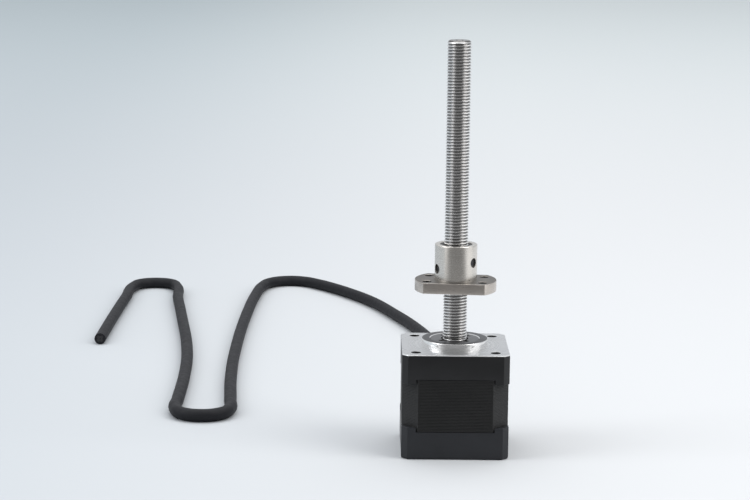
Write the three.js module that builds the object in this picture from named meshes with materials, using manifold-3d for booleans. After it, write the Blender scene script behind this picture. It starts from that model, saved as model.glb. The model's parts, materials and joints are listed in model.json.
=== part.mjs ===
// A 35 mm square stepper motor whose rotor shaft is an 8 mm ball screw, with its flanged ball nut,
// bearings, windings and lead cable. Millimetres, +Z up along the screw. The origin is the centre of
// the motor's rear face, which the motor stands on.

import * as THREE from 'three';
import { mergeVertices } from 'three/addons/utils/BufferGeometryUtils.js';
import Module from 'manifold-3d';

const wasm = await Module();
wasm.setup();

// ---- Driving dimensions ----

const SEAM = 0.1; // joint line between two bolted or stacked pieces
const GAP = 0.3; // space between a soft piece and its neighbour
const FIT = 0.05; // radial clearance of a fixed or running fit
const PAST = 1; // how far a cutting shape runs past the surface that it cuts
const OVERLAP = 0.5; // how far two shapes run into each other before they are joined
const EDGE = 0.3; // chamfer on turned edges
const LARGE_ROUND = 32; // sides of a large round piece
const ROUND = 24; // sides of a small one
const HOLE_ROUND = 12; // sides of a bolt hole
const SMALL_ROUND = 8; // sides of a bolt shank or of the cable
const WIRE_ROUND = 5; // sides of a wire or of a string of balls

const MOTOR_SIDE = 35.2;
const MOTOR_LENGTH = 35;
const CORNER_CUT = 2; // chamfer on the vertical edges of both end caps
const STACK_SIDE = 35;
const STACK_CORNER_CUT = 5.2;
const REAR_CAP_TOP = 9.2;
const FRONT_CAP_BOTTOM = 26.8;
const SKIRT_DEPTH = 1.6; // how far the caps' corners reach down over the stack
const SKIRT_INNER_CUT = STACK_CORNER_CUT - 0.5; // the stack's corners clear the skirts by this cut
const REAR_FLOOR = 2.4;
const FRONT_CEILING = 30.5;
const CAVITY_RADIUS = 15.5;
const BOLT_OFFSET = 13; // mounting holes lie on a 26 mm square
const BOLT_HOLE_RADIUS = 1.5;
const BOLT_SOCKET = { radius: 1.3, depth: 1.1, sides: 6 };
const BOLT_SHANK_RADIUS = 1.25;
const BOLT_CORNERS = [[-1, -1], [1, -1], [1, 1], [-1, 1]];
const BOLT_HEAD = { radius: 2.6, bottom: 0.4, top: 2.2 };
const BOLT_SINK = { radius: 2.75, depth: 2.3 }; // counterbore for a bolt head in the rear face
const SHAFT_PASSAGE = 7; // radius of the hole under the front bearing, whose rim carries the bearing
const SEAT_WALL = 2;
const GLAND_NECK = 2.5;

const BOSS_RADIUS = 11;
const BOSS_HEIGHT = 2.2;
const BOSS_TOP = MOTOR_LENGTH + BOSS_HEIGHT;

const FRONT_BEARING = { bore: 4, outer: 8, width: 5, bottom: 31.2, pitch: 6.05, ball: 0.8, balls: 12 };
const FRONT_SEAT = FRONT_BEARING.outer + 3 * FIT;
const REAR_BEARING = { bore: 2.5, outer: 6.5, width: 4, bottom: 3.5, pitch: 4.5, ball: 1, balls: 9 };

const STACK_BOTTOM = REAR_CAP_TOP + SEAM;
const STACK_TOP = FRONT_CAP_BOTTOM - SEAM;
const STATOR_BORE = 10.1;
const SLOT_RADIUS = 15.45;
const SHOE_RADIUS = 11.3;
const NECK_HALF = 1.7;
const POLES = 8;
const TEETH_PER_POLE = 6;
const POLE_OFFSET = Math.PI / POLES; // a slot, not a pole, faces the cable outlet
const ROTOR_RADIUS = 10;
const ROTOR_TEETH = 50;
const TOOTH_PITCH = (2 * Math.PI) / ROTOR_TEETH;
const TOOTH_DEPTH = 0.5;
const ROTOR_CREST = 0.22 * TOOTH_PITCH; // half width of a rotor tooth at its crest
const ROTOR_FOOT = 0.3 * TOOTH_PITCH; // and at its foot
const MAGNET_THICKNESS = 1.5;

const SCREW_RADIUS = 4;
const SCREW_ROOT = 3.5;
const LEAD = 1;
const SCREW_TOP = 136;
const THREAD_BOTTOM = BOSS_TOP + 0.4;
const THREAD_SIDES = 8; // flats per turn of the thread
const THREAD_OVERRUN = 3; // extra thread at each end, trimmed off
const SHAFT_RADIUS = 3.95;
const REAR_JOURNAL = 2.45;
const REAR_SHOULDER = 7.9; // where the shaft steps down to the rear journal
const SHAFT_BOTTOM = REAR_FLOOR + 0.4;

const NUT_BOTTOM = 53.5;
const NUT_LENGTH = 15.4;
const NUT_RADIUS = 7;
const NUT_BORE = 4.6;
const NUT_YAW = THREE.MathUtils.degToRad(-5.6);
const FLANGE_RADIUS = 13.5;
const FLANGE_FLAT = 9; // half of the width across the flange's two flats
const FLANGE_THICKNESS = 3.5;
const FLANGE_HOLE_CIRCLE = 10.5;
const FLANGE_HOLE_RADIUS = 1.5;
const FLANGE_HOLE_ANGLES = [30, 150, 210, 330];
const WIPER_RADIUS = 5.2;
const WIPER_THICKNESS = 1;
const WIPER_SINK = 0.2; // how far a wiper lies below the nut's end face
const PORT_RADIUS = 1.6;
const PORTS = [
  { angle: -150, height: 3.9 },
  { angle: -30, height: 6.2 },
  { angle: 90, height: 8.6 },
];
const DEFLECTOR_INNER = NUT_BORE + 0.15;
const DEFLECTOR_OUTER = NUT_RADIUS - 0.7; // the plugs lie a little below the barrel's surface
const NUT_BALL = 0.38;
const NUT_BALL_CIRCLE = 4.1;

const CABLE_RADIUS = 2.25;
const CABLE_EXIT_HEIGHT = 5.2;
const CABLE_LIE = 2.3; // centreline height where the cable lies on the ground
const GLAND_TIP = 25.7;
const CABLE_STEPS = 76;

// The cable leaves the gland, comes down to the ground and lies there in two loose bends.
const CABLE_ROUTE = [
  [0, GLAND_TIP + GAP, CABLE_EXIT_HEIGHT],
  [0, 34, 4.6],
  [0, 48, 2.7],
  [0.5, 64, CABLE_LIE],
  [1, 92, CABLE_LIE],
  [0.5, 122, CABLE_LIE],
  [-3, 152, CABLE_LIE],
  [-9.5, 181, CABLE_LIE],
  [-16.8, 204.5, CABLE_LIE],
  [-26, 230, CABLE_LIE],
  [-36, 249, CABLE_LIE],
  [-43, 259.8, CABLE_LIE],
  [-50, 268.8, CABLE_LIE],
  [-57.2, 275, CABLE_LIE],
  [-65, 275.6, CABLE_LIE],
  [-71.4, 270.5, CABLE_LIE],
  [-74.6, 261, CABLE_LIE],
  [-76.4, 244, CABLE_LIE],
  [-78, 215, CABLE_LIE],
  [-79.6, 130, CABLE_LIE],
  [-78.8, 85, CABLE_LIE],
  [-77.2, 52, CABLE_LIE],
  [-76.8, 39.5, CABLE_LIE],
  [-79.6, 32.8, CABLE_LIE],
  [-86.3, 30, CABLE_LIE],
  [-93, 32.8, CABLE_LIE],
  [-95.8, 39.5, CABLE_LIE],
  [-95.9, 52, CABLE_LIE],
  [-96.2, 90, CABLE_LIE],
  [-98, 130, CABLE_LIE],
  [-105.6, 203, CABLE_LIE],
  [-109.4, 236, CABLE_LIE],
  [-111.5, 259, CABLE_LIE],
  [-114.3, 265.7, CABLE_LIE],
  [-121, 268.5, CABLE_LIE],
  [-127.7, 265.7, CABLE_LIE],
  [-130.5, 259, CABLE_LIE],
  [-131.6, 236, CABLE_LIE],
  [-132.8, 200, CABLE_LIE],
  [-133.9, 152, CABLE_LIE],
].map(([x, y, z]) => new THREE.Vector3(x, y, z));

// ---- Materials ----

const material = (color, roughness, metalness) => (
  new THREE.MeshStandardMaterial({ color, roughness, metalness })
);
const blackPaint = material(0x2a2b2e, 0.45, 0.2);
const paintedSteel = material(0x262729, 0.5, 0.5);
const siliconSteel = material(0x6d7074, 0.45, 0.9);
const bearingSteel = material(0xc4c7c9, 0.2, 1);
const screwSteel = material(0xa9abad, 0.22, 1);
const nickelSteel = material(0x9b958c, 0.33, 1);
const darkSteel = material(0x3c3d3f, 0.4, 0.9);
const retainerSteel = material(0x6a6c6f, 0.4, 0.9);
const springSteel = material(0x8d8f92, 0.35, 1);
const brass = material(0xb08d4a, 0.35, 1);
const magnet = material(0x4b4a4a, 0.5, 0.8);
const copper = material(0xb06a3b, 0.35, 1);
const nylon = material(0xe6e1d2, 0.6, 0);
const boardGreen = material(0x2f5a3a, 0.55, 0);
const blackPlastic = material(0x121213, 0.5, 0);
const cableJacket = material(0x2d2e33, 0.75, 0);
const glandRubber = material(0x1e1f21, 0.8, 0);
const wireColours = [0x1b1b1b, 0x2c7a3d, 0xa3262a, 0x24509a].map((color) => material(color, 0.5, 0));

// ---- Geometry helpers ----

function signedVolume(positions, corners) {
  const a = new THREE.Vector3();
  const b = new THREE.Vector3();
  const c = new THREE.Vector3();
  let sum = 0;
  for (let i = 0; i < corners.length; i += 3) {
    a.fromArray(positions, corners[i] * 3);
    b.fromArray(positions, corners[i + 1] * 3);
    c.fromArray(positions, corners[i + 2] * 3);
    sum += a.dot(b.cross(c)) / 6;
  }
  return sum;
}

// A closed three.js geometry as a solid that can be joined and cut, its faces pointing outwards.
function solid(geometry) {
  const bare = geometry.clone();
  bare.deleteAttribute('normal');
  bare.deleteAttribute('uv');
  const merged = mergeVertices(bare, 1e-4);
  const positions = merged.attributes.position.array;
  const index = merged.index.array;
  const corners = [];
  for (let i = 0; i < index.length; i += 3) {
    const [a, b, c] = index.slice(i, i + 3);
    if (a !== b && b !== c && c !== a) corners.push(a, b, c);
  }
  if (signedVolume(positions, corners) < 0) corners.reverse();
  return new wasm.Manifold(new wasm.Mesh({
    numProp: 3,
    vertProperties: positions,
    triVerts: new Uint32Array(corners),
  }));
}

function surface(manifold) {
  const { vertProperties, triVerts } = manifold.getMesh();
  const geometry = new THREE.BufferGeometry();
  geometry.setAttribute('position', new THREE.BufferAttribute(vertProperties, 3));
  geometry.setIndex(new THREE.BufferAttribute(triVerts, 1));
  geometry.computeVertexNormals();
  return geometry;
}

function joined(first, ...others) {
  return others.reduce((sum, next) => sum.add(next), first);
}

function cut(first, ...others) {
  return others.reduce((rest, next) => rest.subtract(next), first);
}

// A solid of revolution about Z from a closed outline of [radius, height] points.
function turned(outline, sides) {
  const points = outline.map(([radius, height]) => new THREE.Vector2(radius, height));
  const onAxis = outline[0][0] === 0 && outline.at(-1)[0] === 0;
  if (!onAxis) points.push(points[0].clone());
  return solid(new THREE.LatheGeometry(points, sides).rotateX(Math.PI / 2));
}

function disc(radius, bottom, top, sides) {
  return turned([[0, bottom], [radius, bottom], [radius, top], [0, top]], sides);
}

function ring(inner, outer, bottom, top, sides) {
  return turned([[inner, bottom], [outer, bottom], [outer, top], [inner, top]], sides);
}

function prism(shape, bottom, top, curveSegments = 12) {
  const depth = top - bottom;
  const geometry = new THREE.ExtrudeGeometry(shape, { depth, bevelEnabled: false, curveSegments });
  return solid(geometry.translate(0, 0, bottom));
}

function tube(path, radius, sides, steps) {
  const section = new THREE.Shape();
  for (let i = 0; i < sides; i += 1) {
    const angle = (i * 2 * Math.PI) / sides;
    section[i ? 'lineTo' : 'moveTo'](radius * Math.cos(angle), radius * Math.sin(angle));
  }
  section.closePath();
  return solid(new THREE.ExtrudeGeometry(section, { extrudePath: path, steps, bevelEnabled: false }));
}

function cutSquare(side, corner) {
  const half = side / 2;
  const short = half - corner;
  return new THREE.Shape([
    new THREE.Vector2(short, -half),
    new THREE.Vector2(half, -short),
    new THREE.Vector2(half, short),
    new THREE.Vector2(short, half),
    new THREE.Vector2(-short, half),
    new THREE.Vector2(-half, short),
    new THREE.Vector2(-half, -short),
    new THREE.Vector2(-short, -half),
  ]);
}

function polar(radius, angle) {
  return new THREE.Vector2(radius * Math.cos(angle), radius * Math.sin(angle));
}

// ---- The part ----

const part = new THREE.Group();

function place(name, shape, finish, parent = part) {
  const mesh = new THREE.Mesh(surface(shape), finish);
  mesh.name = name;
  parent.add(mesh);
  return mesh;
}

// ---- End caps ----

function boltHoles(radius, bottom, top) {
  return BOLT_CORNERS.map(([x, y]) => (
    disc(radius, bottom, top, HOLE_ROUND).translate([x * BOLT_OFFSET, y * BOLT_OFFSET, 0])
  ));
}

// The four corner tongues that reach from a cap over the cut corners of the stack.
function cornerSkirts(bottom, top) {
  const outside = prism(cutSquare(MOTOR_SIDE, CORNER_CUT), bottom, top);
  const inside = prism(cutSquare(MOTOR_SIDE + PAST, SKIRT_INNER_CUT + PAST), bottom - PAST, top + PAST);
  return outside.subtract(inside);
}

function rearCap() {
  const seatInner = REAR_BEARING.outer + FIT;
  const seatTop = REAR_BEARING.bottom + REAR_BEARING.width - SEAM;
  const body = prism(cutSquare(MOTOR_SIDE, CORNER_CUT), 0, REAR_CAP_TOP);
  const cavity = disc(CAVITY_RADIUS, REAR_FLOOR, REAR_CAP_TOP + PAST, LARGE_ROUND);
  const seat = ring(seatInner, seatInner + SEAT_WALL, REAR_FLOOR - OVERLAP, seatTop, ROUND);
  const outletLength = MOTOR_SIDE / 2 - CAVITY_RADIUS + 2 * PAST;
  const outlet = disc(GLAND_NECK + 2 * FIT, 0, outletLength, HOLE_ROUND).rotate([-90, 0, 0]);
  const skirtTop = REAR_CAP_TOP + SKIRT_DEPTH;
  return cut(
    joined(body.subtract(cavity), seat, cornerSkirts(REAR_CAP_TOP - OVERLAP, skirtTop)),
    outlet.translate([0, CAVITY_RADIUS - PAST, CABLE_EXIT_HEIGHT]),
    ...boltHoles(BOLT_HOLE_RADIUS, -PAST, skirtTop + PAST),
    ...boltHoles(BOLT_SINK.radius, -PAST, BOLT_SINK.depth),
  );
}

function frontCap() {
  const body = prism(cutSquare(MOTOR_SIDE, CORNER_CUT), FRONT_CAP_BOTTOM, MOTOR_LENGTH);
  const boss = turned([
    [0, MOTOR_LENGTH - OVERLAP],
    [BOSS_RADIUS, MOTOR_LENGTH - OVERLAP],
    [BOSS_RADIUS, BOSS_TOP - EDGE],
    [BOSS_RADIUS - EDGE, BOSS_TOP],
    [0, BOSS_TOP],
  ], LARGE_ROUND);
  const skirtBottom = FRONT_CAP_BOTTOM - SKIRT_DEPTH;
  return cut(
    joined(body, boss, cornerSkirts(skirtBottom, FRONT_CAP_BOTTOM + OVERLAP)),
    disc(CAVITY_RADIUS, skirtBottom - PAST, FRONT_CEILING, LARGE_ROUND),
    disc(FRONT_SEAT, FRONT_BEARING.bottom - SEAM, BOSS_TOP + PAST, ROUND),
    disc(SHAFT_PASSAGE, FRONT_CEILING - PAST, FRONT_BEARING.bottom, ROUND),
    ...boltHoles(BOLT_HOLE_RADIUS, skirtBottom - PAST, MOTOR_LENGTH + PAST),
  );
}

place('rear_cap', rearCap(), blackPaint);
place('front_cap', frontCap(), blackPaint);

// ---- Stator ----

// The inner outline of the poles: neck, shoe and toothed or plain face, one pole after another.
function poleOutline(slotRadius, faceRadius, toothDepth) {
  const shoeHalf = ((TEETH_PER_POLE - 1) / 2 + 0.25) * TOOTH_PITCH;
  const shoeBack = SHOE_RADIUS - 0.4;
  const points = [];
  for (let pole = 0; pole < POLES; pole += 1) {
    const centre = POLE_OFFSET + (pole * 2 * Math.PI) / POLES;
    const neckAt = (radius) => Math.asin(NECK_HALF / radius);
    points.push(
      polar(slotRadius, centre - neckAt(slotRadius)),
      polar(SHOE_RADIUS, centre - neckAt(SHOE_RADIUS)),
      polar(shoeBack, centre - shoeHalf),
    );
    const teeth = toothDepth ? TEETH_PER_POLE : 1;
    const toothHalf = toothDepth ? TOOTH_PITCH / 4 : shoeHalf;
    for (let tooth = 0; tooth < teeth; tooth += 1) {
      const middle = centre + (tooth - (teeth - 1) / 2) * TOOTH_PITCH;
      if (tooth > 0) points.push(polar(faceRadius + toothDepth, middle - toothHalf));
      points.push(polar(faceRadius, middle - toothHalf));
      if (!toothDepth) points.push(polar(faceRadius, middle));
      points.push(polar(faceRadius, middle + toothHalf));
      if (tooth < teeth - 1) points.push(polar(faceRadius + toothDepth, middle + toothHalf));
    }
    points.push(
      polar(shoeBack, centre + shoeHalf),
      polar(SHOE_RADIUS, centre + neckAt(SHOE_RADIUS)),
      polar(slotRadius, centre + neckAt(slotRadius)),
      polar(slotRadius, centre + Math.PI / POLES),
    );
  }
  return new THREE.Path(points);
}

function statorCore() {
  const shape = cutSquare(STACK_SIDE, STACK_CORNER_CUT);
  shape.holes.push(poleOutline(SLOT_RADIUS, STATOR_BORE, TOOTH_DEPTH));
  for (const [x, y] of BOLT_CORNERS) {
    const hole = new THREE.Path();
    hole.absarc(x * BOLT_OFFSET, y * BOLT_OFFSET, BOLT_HOLE_RADIUS, 0, 2 * Math.PI, true);
    shape.holes.push(hole);
  }
  return prism(shape, STACK_BOTTOM, STACK_TOP, HOLE_ROUND / 2);
}

const INSULATOR_THICKNESS = 0.5;
const INSULATOR_OUTER = 15.3;
const INSULATOR_SLOT = 15; // foot of the slots in an insulator, inside its outer edge

function insulator(bottom) {
  const shape = new THREE.Shape();
  shape.absarc(0, 0, INSULATOR_OUTER, 0, 2 * Math.PI);
  shape.holes.push(poleOutline(INSULATOR_SLOT, STATOR_BORE + TOOTH_DEPTH, 0));
  return prism(shape, bottom, bottom + INSULATOR_THICKNESS, 12);
}

place('stator_core', statorCore(), paintedSteel);
place('insulator_front', insulator(STACK_TOP + FIT), nylon);
place('insulator_rear', insulator(STACK_BOTTOM - FIT - INSULATOR_THICKNESS), nylon);

// A winding is a rounded oblong ring around one pole's neck.
const COIL_INNER_RADIUS = 11.8;
const COIL_OUTER_RADIUS = 14.1;
const COIL_HALF_WIDTH = 4.3;
const COIL_END_TURN = 2.2;

function oblong(path, halfWidth, halfHeight, corner) {
  path.moveTo(halfWidth - corner, -halfHeight);
  path.lineTo(halfWidth, -halfHeight + corner);
  path.lineTo(halfWidth, halfHeight - corner);
  path.lineTo(halfWidth - corner, halfHeight);
  path.lineTo(-halfWidth + corner, halfHeight);
  path.lineTo(-halfWidth, halfHeight - corner);
  path.lineTo(-halfWidth, -halfHeight + corner);
  path.lineTo(-halfWidth + corner, -halfHeight);
  path.closePath();
  return path;
}

function coil() {
  const holeHalfWidth = NECK_HALF + 0.25;
  const corner = 1.2;
  const holeCorner = 0.15;
  const holeHalfHeight = (STACK_TOP - STACK_BOTTOM) / 2 + INSULATOR_THICKNESS + 2 * FIT;
  const shape = oblong(new THREE.Shape(), COIL_HALF_WIDTH, holeHalfHeight + COIL_END_TURN, corner);
  shape.holes.push(oblong(new THREE.Path(), holeHalfWidth, holeHalfHeight, holeCorner));
  const depth = COIL_OUTER_RADIUS - COIL_INNER_RADIUS;
  const geometry = new THREE.ExtrudeGeometry(shape, { depth, bevelEnabled: false });
  geometry.translate(0, 0, COIL_INNER_RADIUS).rotateX(Math.PI / 2).rotateZ(Math.PI / 2);
  return solid(geometry);
}

for (let i = 0; i < POLES; i += 1) {
  const mesh = place(`coil_${i + 1}`, coil(), copper);
  mesh.position.z = (STACK_BOTTOM + STACK_TOP) / 2;
  mesh.rotation.z = POLE_OFFSET + (i * 2 * Math.PI) / POLES;
}

// ---- Leads, cable outlet and cable ----

const BOARD_BOTTOM = 5.4;
const BOARD_TOP = BOARD_BOTTOM + 0.8;
const BOARD_INNER = 9.6;
const BOARD_OUTER = 13.5;

place('lead_board', ring(BOARD_INNER, BOARD_OUTER, BOARD_BOTTOM, BOARD_TOP, ROUND), boardGreen);

const GLAND_INNER_END = 15.2;
const GLAND_SHOULDER = MOTOR_SIDE / 2 + FIT;
const GLAND_FLANGE = 4;
const GLAND_FLANGE_THICKNESS = 1.4;
const GLAND_TIP_RADIUS = 2.9;

function gland() {
  return turned([
    [0, GLAND_INNER_END],
    [GLAND_NECK, GLAND_INNER_END],
    [GLAND_NECK, GLAND_SHOULDER],
    [GLAND_FLANGE, GLAND_SHOULDER],
    [GLAND_FLANGE, GLAND_SHOULDER + GLAND_FLANGE_THICKNESS],
    [GLAND_TIP_RADIUS, GLAND_TIP],
    [0, GLAND_TIP],
  ], HOLE_ROUND).rotate([-90, 0, 0]).translate([0, 0, CABLE_EXIT_HEIGHT]);
}

place('cable_gland', gland(), glandRubber);

const LEAD_HEIGHT = CABLE_EXIT_HEIGHT - 0.5;
const LEAD_RADIUS = 0.35;
const LEAD_STEPS = 6;

wireColours.forEach((colour, i) => {
  const side = i - 1.5;
  const path = new THREE.CatmullRomCurve3([
    new THREE.Vector3(side * 0.85, GLAND_INNER_END - GAP, LEAD_HEIGHT),
    new THREE.Vector3(side * 0.95, GLAND_INNER_END - 1.2, LEAD_HEIGHT),
    new THREE.Vector3(side * 1.4, GLAND_INNER_END - 2.6, LEAD_HEIGHT - 0.6),
    new THREE.Vector3(side * 1.7, GLAND_INNER_END - 3.4, LEAD_HEIGHT - 0.1),
    new THREE.Vector3(side * 1.7, GLAND_INNER_END - 3.5, BOARD_BOTTOM - GAP),
  ]);
  place(`lead_wire_${i + 1}`, tube(path, LEAD_RADIUS, WIRE_ROUND, LEAD_STEPS), colour);
});

const cablePath = new THREE.CatmullRomCurve3(CABLE_ROUTE);
place('cable', tube(cablePath, CABLE_RADIUS, SMALL_ROUND, CABLE_STEPS), cableJacket);

// ---- Housing bolts: socket heads sunk in the rear face ----

function housingBolt() {
  const { bottom, top, radius } = BOLT_HEAD;
  const shank = disc(BOLT_SHANK_RADIUS, top - OVERLAP, FRONT_CEILING - EDGE, SMALL_ROUND);
  const head = disc(radius, bottom, top, HOLE_ROUND);
  const socket = disc(BOLT_SOCKET.radius, bottom - PAST, bottom + BOLT_SOCKET.depth, BOLT_SOCKET.sides);
  return shank.add(head).subtract(socket);
}

BOLT_CORNERS.forEach(([x, y], i) => {
  const mesh = place(`housing_bolt_${i + 1}`, housingBolt(), darkSteel);
  mesh.position.set(x * BOLT_OFFSET, y * BOLT_OFFSET, 0);
});

// ---- Bearings ----

const SHOULDER = 0.25; // how far a race stands above the bottom of its ball groove

function race(edge, groove, bearing) {
  const top = bearing.bottom + bearing.width;
  const middle = bearing.bottom + bearing.width / 2;
  const outward = Math.sign(groove - edge);
  return turned([
    [edge, bearing.bottom],
    [groove + outward * SHOULDER, bearing.bottom],
    [groove, middle],
    [groove + outward * SHOULDER, top],
    [edge, top],
  ], ROUND);
}

function outerRace(bearing) {
  return race(bearing.outer, bearing.pitch + bearing.ball + 2 * FIT, bearing);
}

function innerRace(bearing) {
  return race(bearing.bore + FIT, bearing.pitch - bearing.ball - 2 * FIT, bearing);
}

// The balls of a bearing in their cage, a thin ring through all of them.
function cage(bearing) {
  const middle = bearing.bottom + bearing.width / 2;
  const band = 0.25 * bearing.ball;
  const strip = ring(bearing.pitch - band, bearing.pitch + band, middle - band, middle + band, ROUND);
  const balls = Array.from({ length: bearing.balls }, (_, i) => {
    const at = polar(bearing.pitch, (i * 2 * Math.PI) / bearing.balls);
    return solid(new THREE.SphereGeometry(bearing.ball, 6, 3)).translate([at.x, at.y, middle]);
  });
  return joined(strip, ...balls);
}

const SHIELD_THICKNESS = 0.2;

function shield(bottom) {
  const reach = 0.5; // to each side of the balls' pitch circle
  const { pitch } = FRONT_BEARING;
  return ring(pitch - reach, pitch + reach, bottom, bottom + SHIELD_THICKNESS, ROUND);
}

place('front_bearing_outer_race', outerRace(FRONT_BEARING), bearingSteel);
place('rear_bearing_outer_race', outerRace(REAR_BEARING), bearingSteel);
const upperShieldBottom = FRONT_BEARING.bottom + FRONT_BEARING.width - SEAM - SHIELD_THICKNESS;
place('front_bearing_upper_shield', shield(upperShieldBottom), darkSteel);
place('front_bearing_lower_shield', shield(FRONT_BEARING.bottom + SEAM), darkSteel);
place('front_bearing_cage', cage(FRONT_BEARING), brass);
place('rear_bearing_cage', cage(REAR_BEARING), brass);

// A spring ring in three waves that preloads the rear bearing.
function waveWasher() {
  const waves = 3;
  const height = 0.35;
  const middle = (REAR_FLOOR + REAR_BEARING.bottom) / 2;
  const inner = REAR_JOURNAL + 1.15;
  const outer = REAR_BEARING.outer - EDGE;
  const half = 0.12;
  const outline = [[inner, -half], [outer, -half], [outer, half], [inner, half], [inner, -half]];
  const points = outline.map(([radius, z]) => new THREE.Vector2(radius, z));
  const geometry = new THREE.LatheGeometry(points, ROUND).rotateX(Math.PI / 2);
  const position = geometry.attributes.position;
  for (let i = 0; i < position.count; i += 1) {
    const angle = Math.atan2(position.getY(i), position.getX(i));
    position.setZ(i, middle + position.getZ(i) + height * Math.cos(waves * angle));
  }
  return solid(geometry);
}

place('wave_washer', waveWasher(), springSteel);

// The ring screwed into the boss that holds the front bearing down. Four notches for a spanner
// open into its bore.
function bearingRetainer() {
  const bottom = FRONT_BEARING.bottom + FRONT_BEARING.width + SEAM;
  const bore = SHAFT_RADIUS + 0.55;
  const notchWidth = 1.5;
  const notchReach = 6.7;
  const firstNotch = 40;
  const notches = [0, 90, 180, 270].map((turn) => (
    solid(new THREE.BoxGeometry(notchReach, notchWidth, 2 * BOSS_HEIGHT))
      .translate([notchReach / 2, 0, bottom])
      .rotate([0, 0, firstNotch + turn])
  ));
  return cut(ring(bore, FRONT_SEAT - SEAM, bottom, BOSS_TOP - SEAM, ROUND), ...notches);
}

place('bearing_retainer', bearingRetainer(), retainerSteel);

// ---- Screw, rotor and the pieces that turn with them ----

const screwGroup = new THREE.Group();
part.add(screwGroup);

// A right-hand thread: crest and root lines wind up around the axis, closed at each end by a cone
// that the screw's envelope trims away.
function threadForm(bottom, top) {
  const lines = Math.round((2 * (top - bottom)) / LEAD);
  const rows = lines + 1;
  const positions = [];
  for (let side = 0; side < THREAD_SIDES; side += 1) {
    for (let line = 0; line < rows; line += 1) {
      const radius = line % 2 ? SCREW_ROOT : SCREW_RADIUS;
      const { x, y } = polar(radius, (side * 2 * Math.PI) / THREAD_SIDES);
      positions.push(x, y, bottom + LEAD * (line / 2 + side / THREAD_SIDES));
    }
  }
  // The side after the last one is the first side again, one turn (two lines) further up.
  const at = (side, line) => (
    side < THREAD_SIDES ? side * rows + line : line + 2
  );
  const corners = [];
  for (let side = 0; side < THREAD_SIDES; side += 1) {
    const last = side < THREAD_SIDES - 1 ? lines : lines - 2;
    for (let line = 0; line < last; line += 1) {
      corners.push(at(side, line), at(side + 1, line), at(side + 1, line + 1));
      corners.push(at(side, line), at(side + 1, line + 1), at(side, line + 1));
    }
  }
  const sides = Array.from({ length: THREAD_SIDES }, (_, side) => side);
  const lowerEdge = [...sides.map((side) => at(side, 0)), at(0, 2), at(0, 1)];
  const upperEdge = [
    ...sides.map((side) => at(side, lines)),
    at(THREAD_SIDES - 1, lines - 1),
    at(THREAD_SIDES - 1, lines - 2),
  ];
  const lowerTip = positions.length / 3;
  positions.push(0, 0, bottom - LEAD);
  const upperTip = lowerTip + 1;
  positions.push(0, 0, top + 2 * LEAD);
  lowerEdge.forEach((corner, i) => {
    corners.push(lowerTip, lowerEdge[(i + 1) % lowerEdge.length], corner);
  });
  upperEdge.forEach((corner, i) => {
    corners.push(upperTip, corner, upperEdge[(i + 1) % upperEdge.length]);
  });
  const geometry = new THREE.BufferGeometry();
  geometry.setAttribute('position', new THREE.Float32BufferAttribute(positions, 3));
  geometry.setIndex(corners);
  return solid(geometry);
}

function leadScrew() {
  const neck = SCREW_ROOT - 0.1; // plain stretch between the shaft and the thread
  const core = SCREW_ROOT - OVERLAP;
  const tip = SCREW_ROOT - 0.2; // end of the chamfer at the screw's top
  const envelope = turned([
    [0, THREAD_BOTTOM],
    [SCREW_RADIUS + OVERLAP, THREAD_BOTTOM],
    [SCREW_RADIUS + OVERLAP, SCREW_TOP - LEAD],
    [tip, SCREW_TOP],
    [0, SCREW_TOP],
  ], ROUND);
  const shaft = turned([
    [0, SHAFT_BOTTOM],
    [REAR_JOURNAL - EDGE, SHAFT_BOTTOM],
    [REAR_JOURNAL, SHAFT_BOTTOM + EDGE],
    [REAR_JOURNAL, REAR_SHOULDER],
    [SHAFT_RADIUS, REAR_SHOULDER],
    [SHAFT_RADIUS, BOSS_TOP],
    [neck, BOSS_TOP],
    [neck, THREAD_BOTTOM],
    [core, THREAD_BOTTOM],
    [core, THREAD_BOTTOM + PAST],
    [0, THREAD_BOTTOM + PAST],
  ], ROUND);
  const thread = threadForm(THREAD_BOTTOM - THREAD_OVERRUN, SCREW_TOP + THREAD_OVERRUN);
  return thread.intersect(envelope).add(shaft);
}

function rotorCore(bottom, top) {
  const points = [];
  for (let tooth = 0; tooth < ROTOR_TEETH; tooth += 1) {
    const middle = tooth * TOOTH_PITCH;
    points.push(
      polar(ROTOR_RADIUS - TOOTH_DEPTH, middle - ROTOR_FOOT),
      polar(ROTOR_RADIUS, middle - ROTOR_CREST),
      polar(ROTOR_RADIUS, middle + ROTOR_CREST),
      polar(ROTOR_RADIUS - TOOTH_DEPTH, middle + ROTOR_FOOT),
    );
  }
  const shape = new THREE.Shape(points);
  const bore = new THREE.Path();
  bore.absarc(0, 0, SHAFT_RADIUS + 2 * FIT, 0, 2 * Math.PI, true);
  shape.holes.push(bore);
  return prism(shape, bottom, top, 12);
}

const ROTOR_MIDDLE = (STACK_BOTTOM + STACK_TOP) / 2;
const MAGNET_BOTTOM = ROTOR_MIDDLE - MAGNET_THICKNESS / 2;
const MAGNET_TOP = ROTOR_MIDDLE + MAGNET_THICKNESS / 2;
const SLEEVE_BORE = SHAFT_RADIUS + 2 * FIT;
const MAGNET_RADIUS = ROTOR_RADIUS - 0.7;
const SPACER_RADIUS = 5;

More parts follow.
